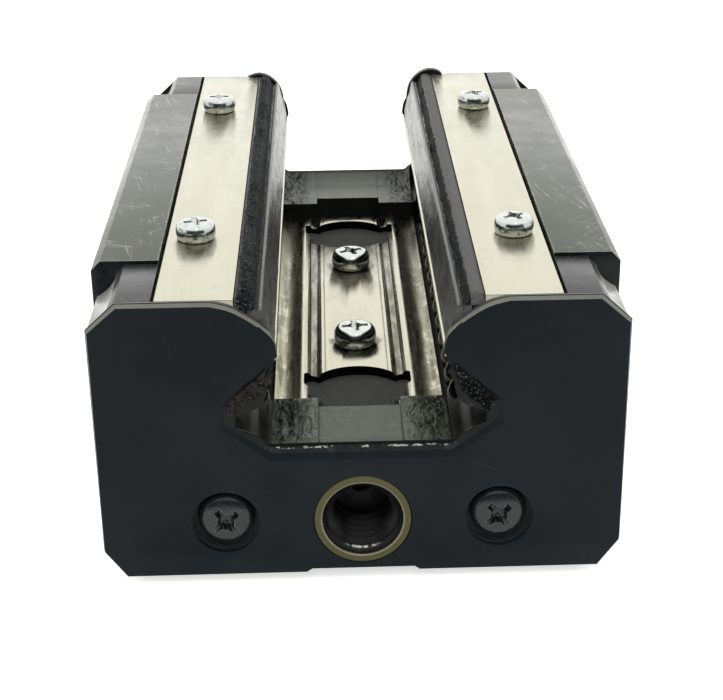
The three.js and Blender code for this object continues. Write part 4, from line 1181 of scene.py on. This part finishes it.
# -------------------------------------------------------------------- grease
def film(name, end):
    """Grease dragged over the slot floor of an end plate."""
    x0, x1, y0, y1 = -7.4, 7.4, -34.36, -25.9
    nu, nv = ((210, 130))
    seed = 5.0 if end == "front" else 31.0

    def fn(u, v):
        x, y = x0 + (x1 - x0) * u, y0 + (y1 - y0) * v
        edge = min(1, u * 16, (1 - u) * 16, v * 16 if end == "front" else 1, (1 - v) * 16)
        side = min(1.0, max(0.0, (abs(x) - 3.4) / 1.6))
        q = Vector((x * 0.9 + seed, y * 0.42, seed))
        warp = Vector((noise.noise(q * 1.7), noise.noise(q * 1.3 + Vector((7, 1, 2))), 0))
        ridge = max(0.0, 1 - abs(noise.noise(q + warp * 0.9)) * 2.4)
        fine = max(0.0, 1 - abs(noise.noise(q * 2.3 + warp)) * 3.0)
        h = 0.03 + (0.02 + 0.24 * side) * ridge * ridge + 0.10 * side * fine * fine
        h = 0.012 + edge * max(0.0, h)
        if end == "front":
            for s in (-3.5, 3.5):
                if abs(x - s) < 0.07:
                    h -= 0.03
        else:
            # piled up against the lip, and into the corners
            h = 0.02 + (h - 0.02) * 0.30
            back = -34.36 + 2.6
            if y < back:
                k = (back - y) / 2.6
                h += (REAR_LIP - END_FLOOR - 0.10) * k ** 3
            h += 0.75 * max(0.0, (abs(x) - 6.5) / 0.9) ** 2 * max(0.0, min(1, (-30.5 - y) / 3.0))
        return (x, y, END_FLOOR + h)
    o = grid_patch(name, nu, nv, fn)
    bm = bmesh.new()
    bm.from_mesh(o.data)
    drop = [f for f in bm.faces if abs(f.calc_center_median().x) < 3.55 * S and f.calc_center_median().y > -27.72 * S]
    bmesh.ops.delete(bm, geom=drop, context="FACES")
    ext = bmesh.ops.extrude_face_region(bm, geom=list(bm.faces))
    newv = set(e for e in ext["geom"] if isinstance(e, bmesh.types.BMVert))
    for vtx in bm.verts:
        if vtx not in newv:
            vtx.co.z = (END_FLOOR - 0.005) * S
    bmesh.ops.recalc_face_normals(bm, faces=bm.faces)
    bm.to_mesh(o.data)
    bm.free()
    shade(o, 60)
    return o


def clump(name, side, seed, rough_h, grain, mat):
    """Grease packed into the band of the seal, below the slanting edge."""
    a, b, c, d = Vector((6.95, 20.4)), Vector((11.5, 16.35)), Vector((10.5, 14.9)), Vector((7.6, 17.3))
    nu, nv = ((130, 80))

    def fn(u, v):
        p = a.lerp(b, u).lerp(d.lerp(c, u), v)
        p = p + Vector((noise.noise((u * 5, v * 5, seed)), noise.noise((u * 5, v * 5, seed + 4)))) * 0.22
        w = min(1, u * 6, (1 - u) * 6, v * 5, (1 - v) * 5)
        w = w * w * (3 - 2 * w)
        q = Vector((p.x, p.y, seed))
        g = abs(noise.noise(q * grain)) + 0.6 * abs(noise.noise(q * grain * 2.1)) + 0.35 * noise.noise(q * 0.9)
        h = w * (0.55 + rough_h * max(0.0, g))
        return (side * p.x, -34.42 - min(h * 0.62, 0.85), p.y)
    o = grid_patch(name, nu, nv, fn)
    bm = bmesh.new()
    bm.from_mesh(o.data)
    ext = bmesh.ops.extrude_face_region(bm, geom=list(bm.faces))
    newv = set(e for e in ext["geom"] if isinstance(e, bmesh.types.BMVert))
    for vtx in bm.verts:
        if vtx not in newv:
            vtx.co.y = -34.38 * S
    bmesh.ops.recalc_face_normals(bm, faces=bm.faces)
    bm.to_mesh(o.data)
    bm.free()
    shade(o, 55)
    return place(o, mat)


for end in ("front", "rear"):
    o = film(f"grease_film_{end}", end)
    if end == "rear":
        o.data.transform(Matrix.Diagonal((1, -1, 1, 1)))
        o.data.flip_normals()
    place(o, MAT["film"])
clump("grease_right", 1, 4.0, 1.0, 3.2, MAT["grease_black"])
clump("grease_left", -1, 17.0, 0.45, 1.8, MAT["grease_brown"])


# ------------------------------------------------------ floor, light, camera
def build_stage():
    n = 48
    v, f = [(0, 0, 0)], []
    R = 2.4
    for i in range(n):
        t = 2 * math.pi * i / n
        v.append((R * math.cos(t), R * math.sin(t), 0))
    for i in range(n):
        f.append([0, 1 + i, 1 + (i + 1) % n])
    me = bpy.data.meshes.new("floor")
    me.from_pydata(v, [], f)
    fl = bpy.data.objects.new("floor", me)
    bpy.context.scene.collection.objects.link(fl)
    fl.location = (0, 0, -0.00002)
    m = bpy.data.materials.new("paper_white")
    m.use_nodes = True
    b = m.node_tree.nodes["Principled BSDF"]
    b.inputs["Base Color"].default_value = (0.80, 0.80, 0.785, 1)
    b.inputs["Emission Color"].default_value = (1.0, 1.0, 0.98, 1)
    b.inputs["Emission Strength"].default_value = 0.55
    b.inputs["Roughness"].default_value = 0.9
    b.inputs["Specular IOR Level"].default_value = 0.1
    tc = m.node_tree.nodes.new("ShaderNodeTexCoord")
    nz = m.node_tree.nodes.new("ShaderNodeTexNoise")
    nz.inputs["Scale"].default_value = 1500
    bp = m.node_tree.nodes.new("ShaderNodeBump")
    bp.inputs["Strength"].default_value = 0.05
    bp.inputs["Distance"].default_value = 0.00005
    m.node_tree.links.new(tc.outputs["Object"], nz.inputs["Vector"])
    m.node_tree.links.new(nz.outputs["Fac"], bp.inputs["Height"])
    m.node_tree.links.new(bp.outputs["Normal"], b.inputs["Normal"])
    me.materials.append(m)

    # dark card in front of the object, seen only in reflections
    cv, cf = [], []
    steps = 16
    for j, zz in enumerate((0.0, 0.34)):
        for i in range(steps + 1):
            a = math.radians(-52 + 104 * i / steps)
            cv.append((0.55 * math.sin(a), -0.55 * math.cos(a), zz + 0.0005))
    for i in range(steps):
        cf.append([i, i + 1, steps + 2 + i, steps + 1 + i])
    cm = bpy.data.meshes.new("card")
    cm.from_pydata(cv, [], cf)
    card = bpy.data.objects.new("dark_card", cm)
    bpy.context.scene.collection.objects.link(card)
    mc = bpy.data.materials.new("card_dark")
    mc.use_nodes = True
    bc = mc.node_tree.nodes["Principled BSDF"]
    bc.inputs["Base Color"].default_value = (0.035, 0.036, 0.045, 1)
    bc.inputs["Roughness"].default_value = 0.9
    cm.materials.append(mc)
    card.visible_camera = False
    card.visible_shadow = False
    card.visible_diffuse = False

    w = bpy.data.worlds.new("studio")
    bpy.context.scene.world = w
    w.use_nodes = True
    bg = w.node_tree.nodes["Background"]
    bg.inputs["Color"].default_value = (1.0, 1.0, 0.985, 1)
    bg.inputs["Strength"].default_value = 1.45

    def area(name, loc, target, size, power, color=(1, 1, 1)):
        li = bpy.data.lights.new(name, "AREA")
        li.shape = "RECTANGLE"
        li.size, li.size_y = size
        li.energy = power
        li.color = color
        o = bpy.data.objects.new(name, li)
        bpy.context.scene.collection.objects.link(o)
        o.location = loc
        o.rotation_mode = "QUATERNION"
        o.rotation_quaternion = (Vector(target) - Vector(loc)).to_track_quat("-Z", "Y")
        return o
    area("spark", (0.10, -0.30, 0.55), (0, 0, 0.01), (0.05, 0.05), 0.12)


def build_camera():
    f, cx, cy = 1672.98, 392.7, 401.2
    loc = (-2.390, -156.223, 74.251)
    fwd = Vector((0.03656833, 0.90223954, -0.42968195)).normalized()
    right = Vector((0.9990672, -0.04288859, -0.0050306))
    right = (right - fwd * right.dot(fwd)).normalized()
    down = fwd.cross(right)
    cam = bpy.data.cameras.new("cam")
    cam.sensor_fit = "HORIZONTAL"
    cam.sensor_width = 36
    cam.lens = f * 36 / 723
    cam.shift_x = -(cx - 361.5) / 723
    cam.shift_y = (cy - 350) / 723
    cam.clip_start, cam.clip_end = 0.01, 20
    o = bpy.data.objects.new("camera", cam)
    bpy.context.scene.collection.objects.link(o)
    m = Matrix.Identity(4)
    for i in range(3):
        m[i][0] = right[i]
        m[i][1] = -down[i]
        m[i][2] = -fwd[i]
        m[i][3] = loc[i] * S
    o.matrix_world = m
    bpy.context.scene.camera = o


build_stage()
build_camera()
bpy.context.scene.view_settings.view_transform = "Standard"
bpy.context.scene.view_settings.look = "None"
bpy.context.scene.view_settings.exposure = 0.0
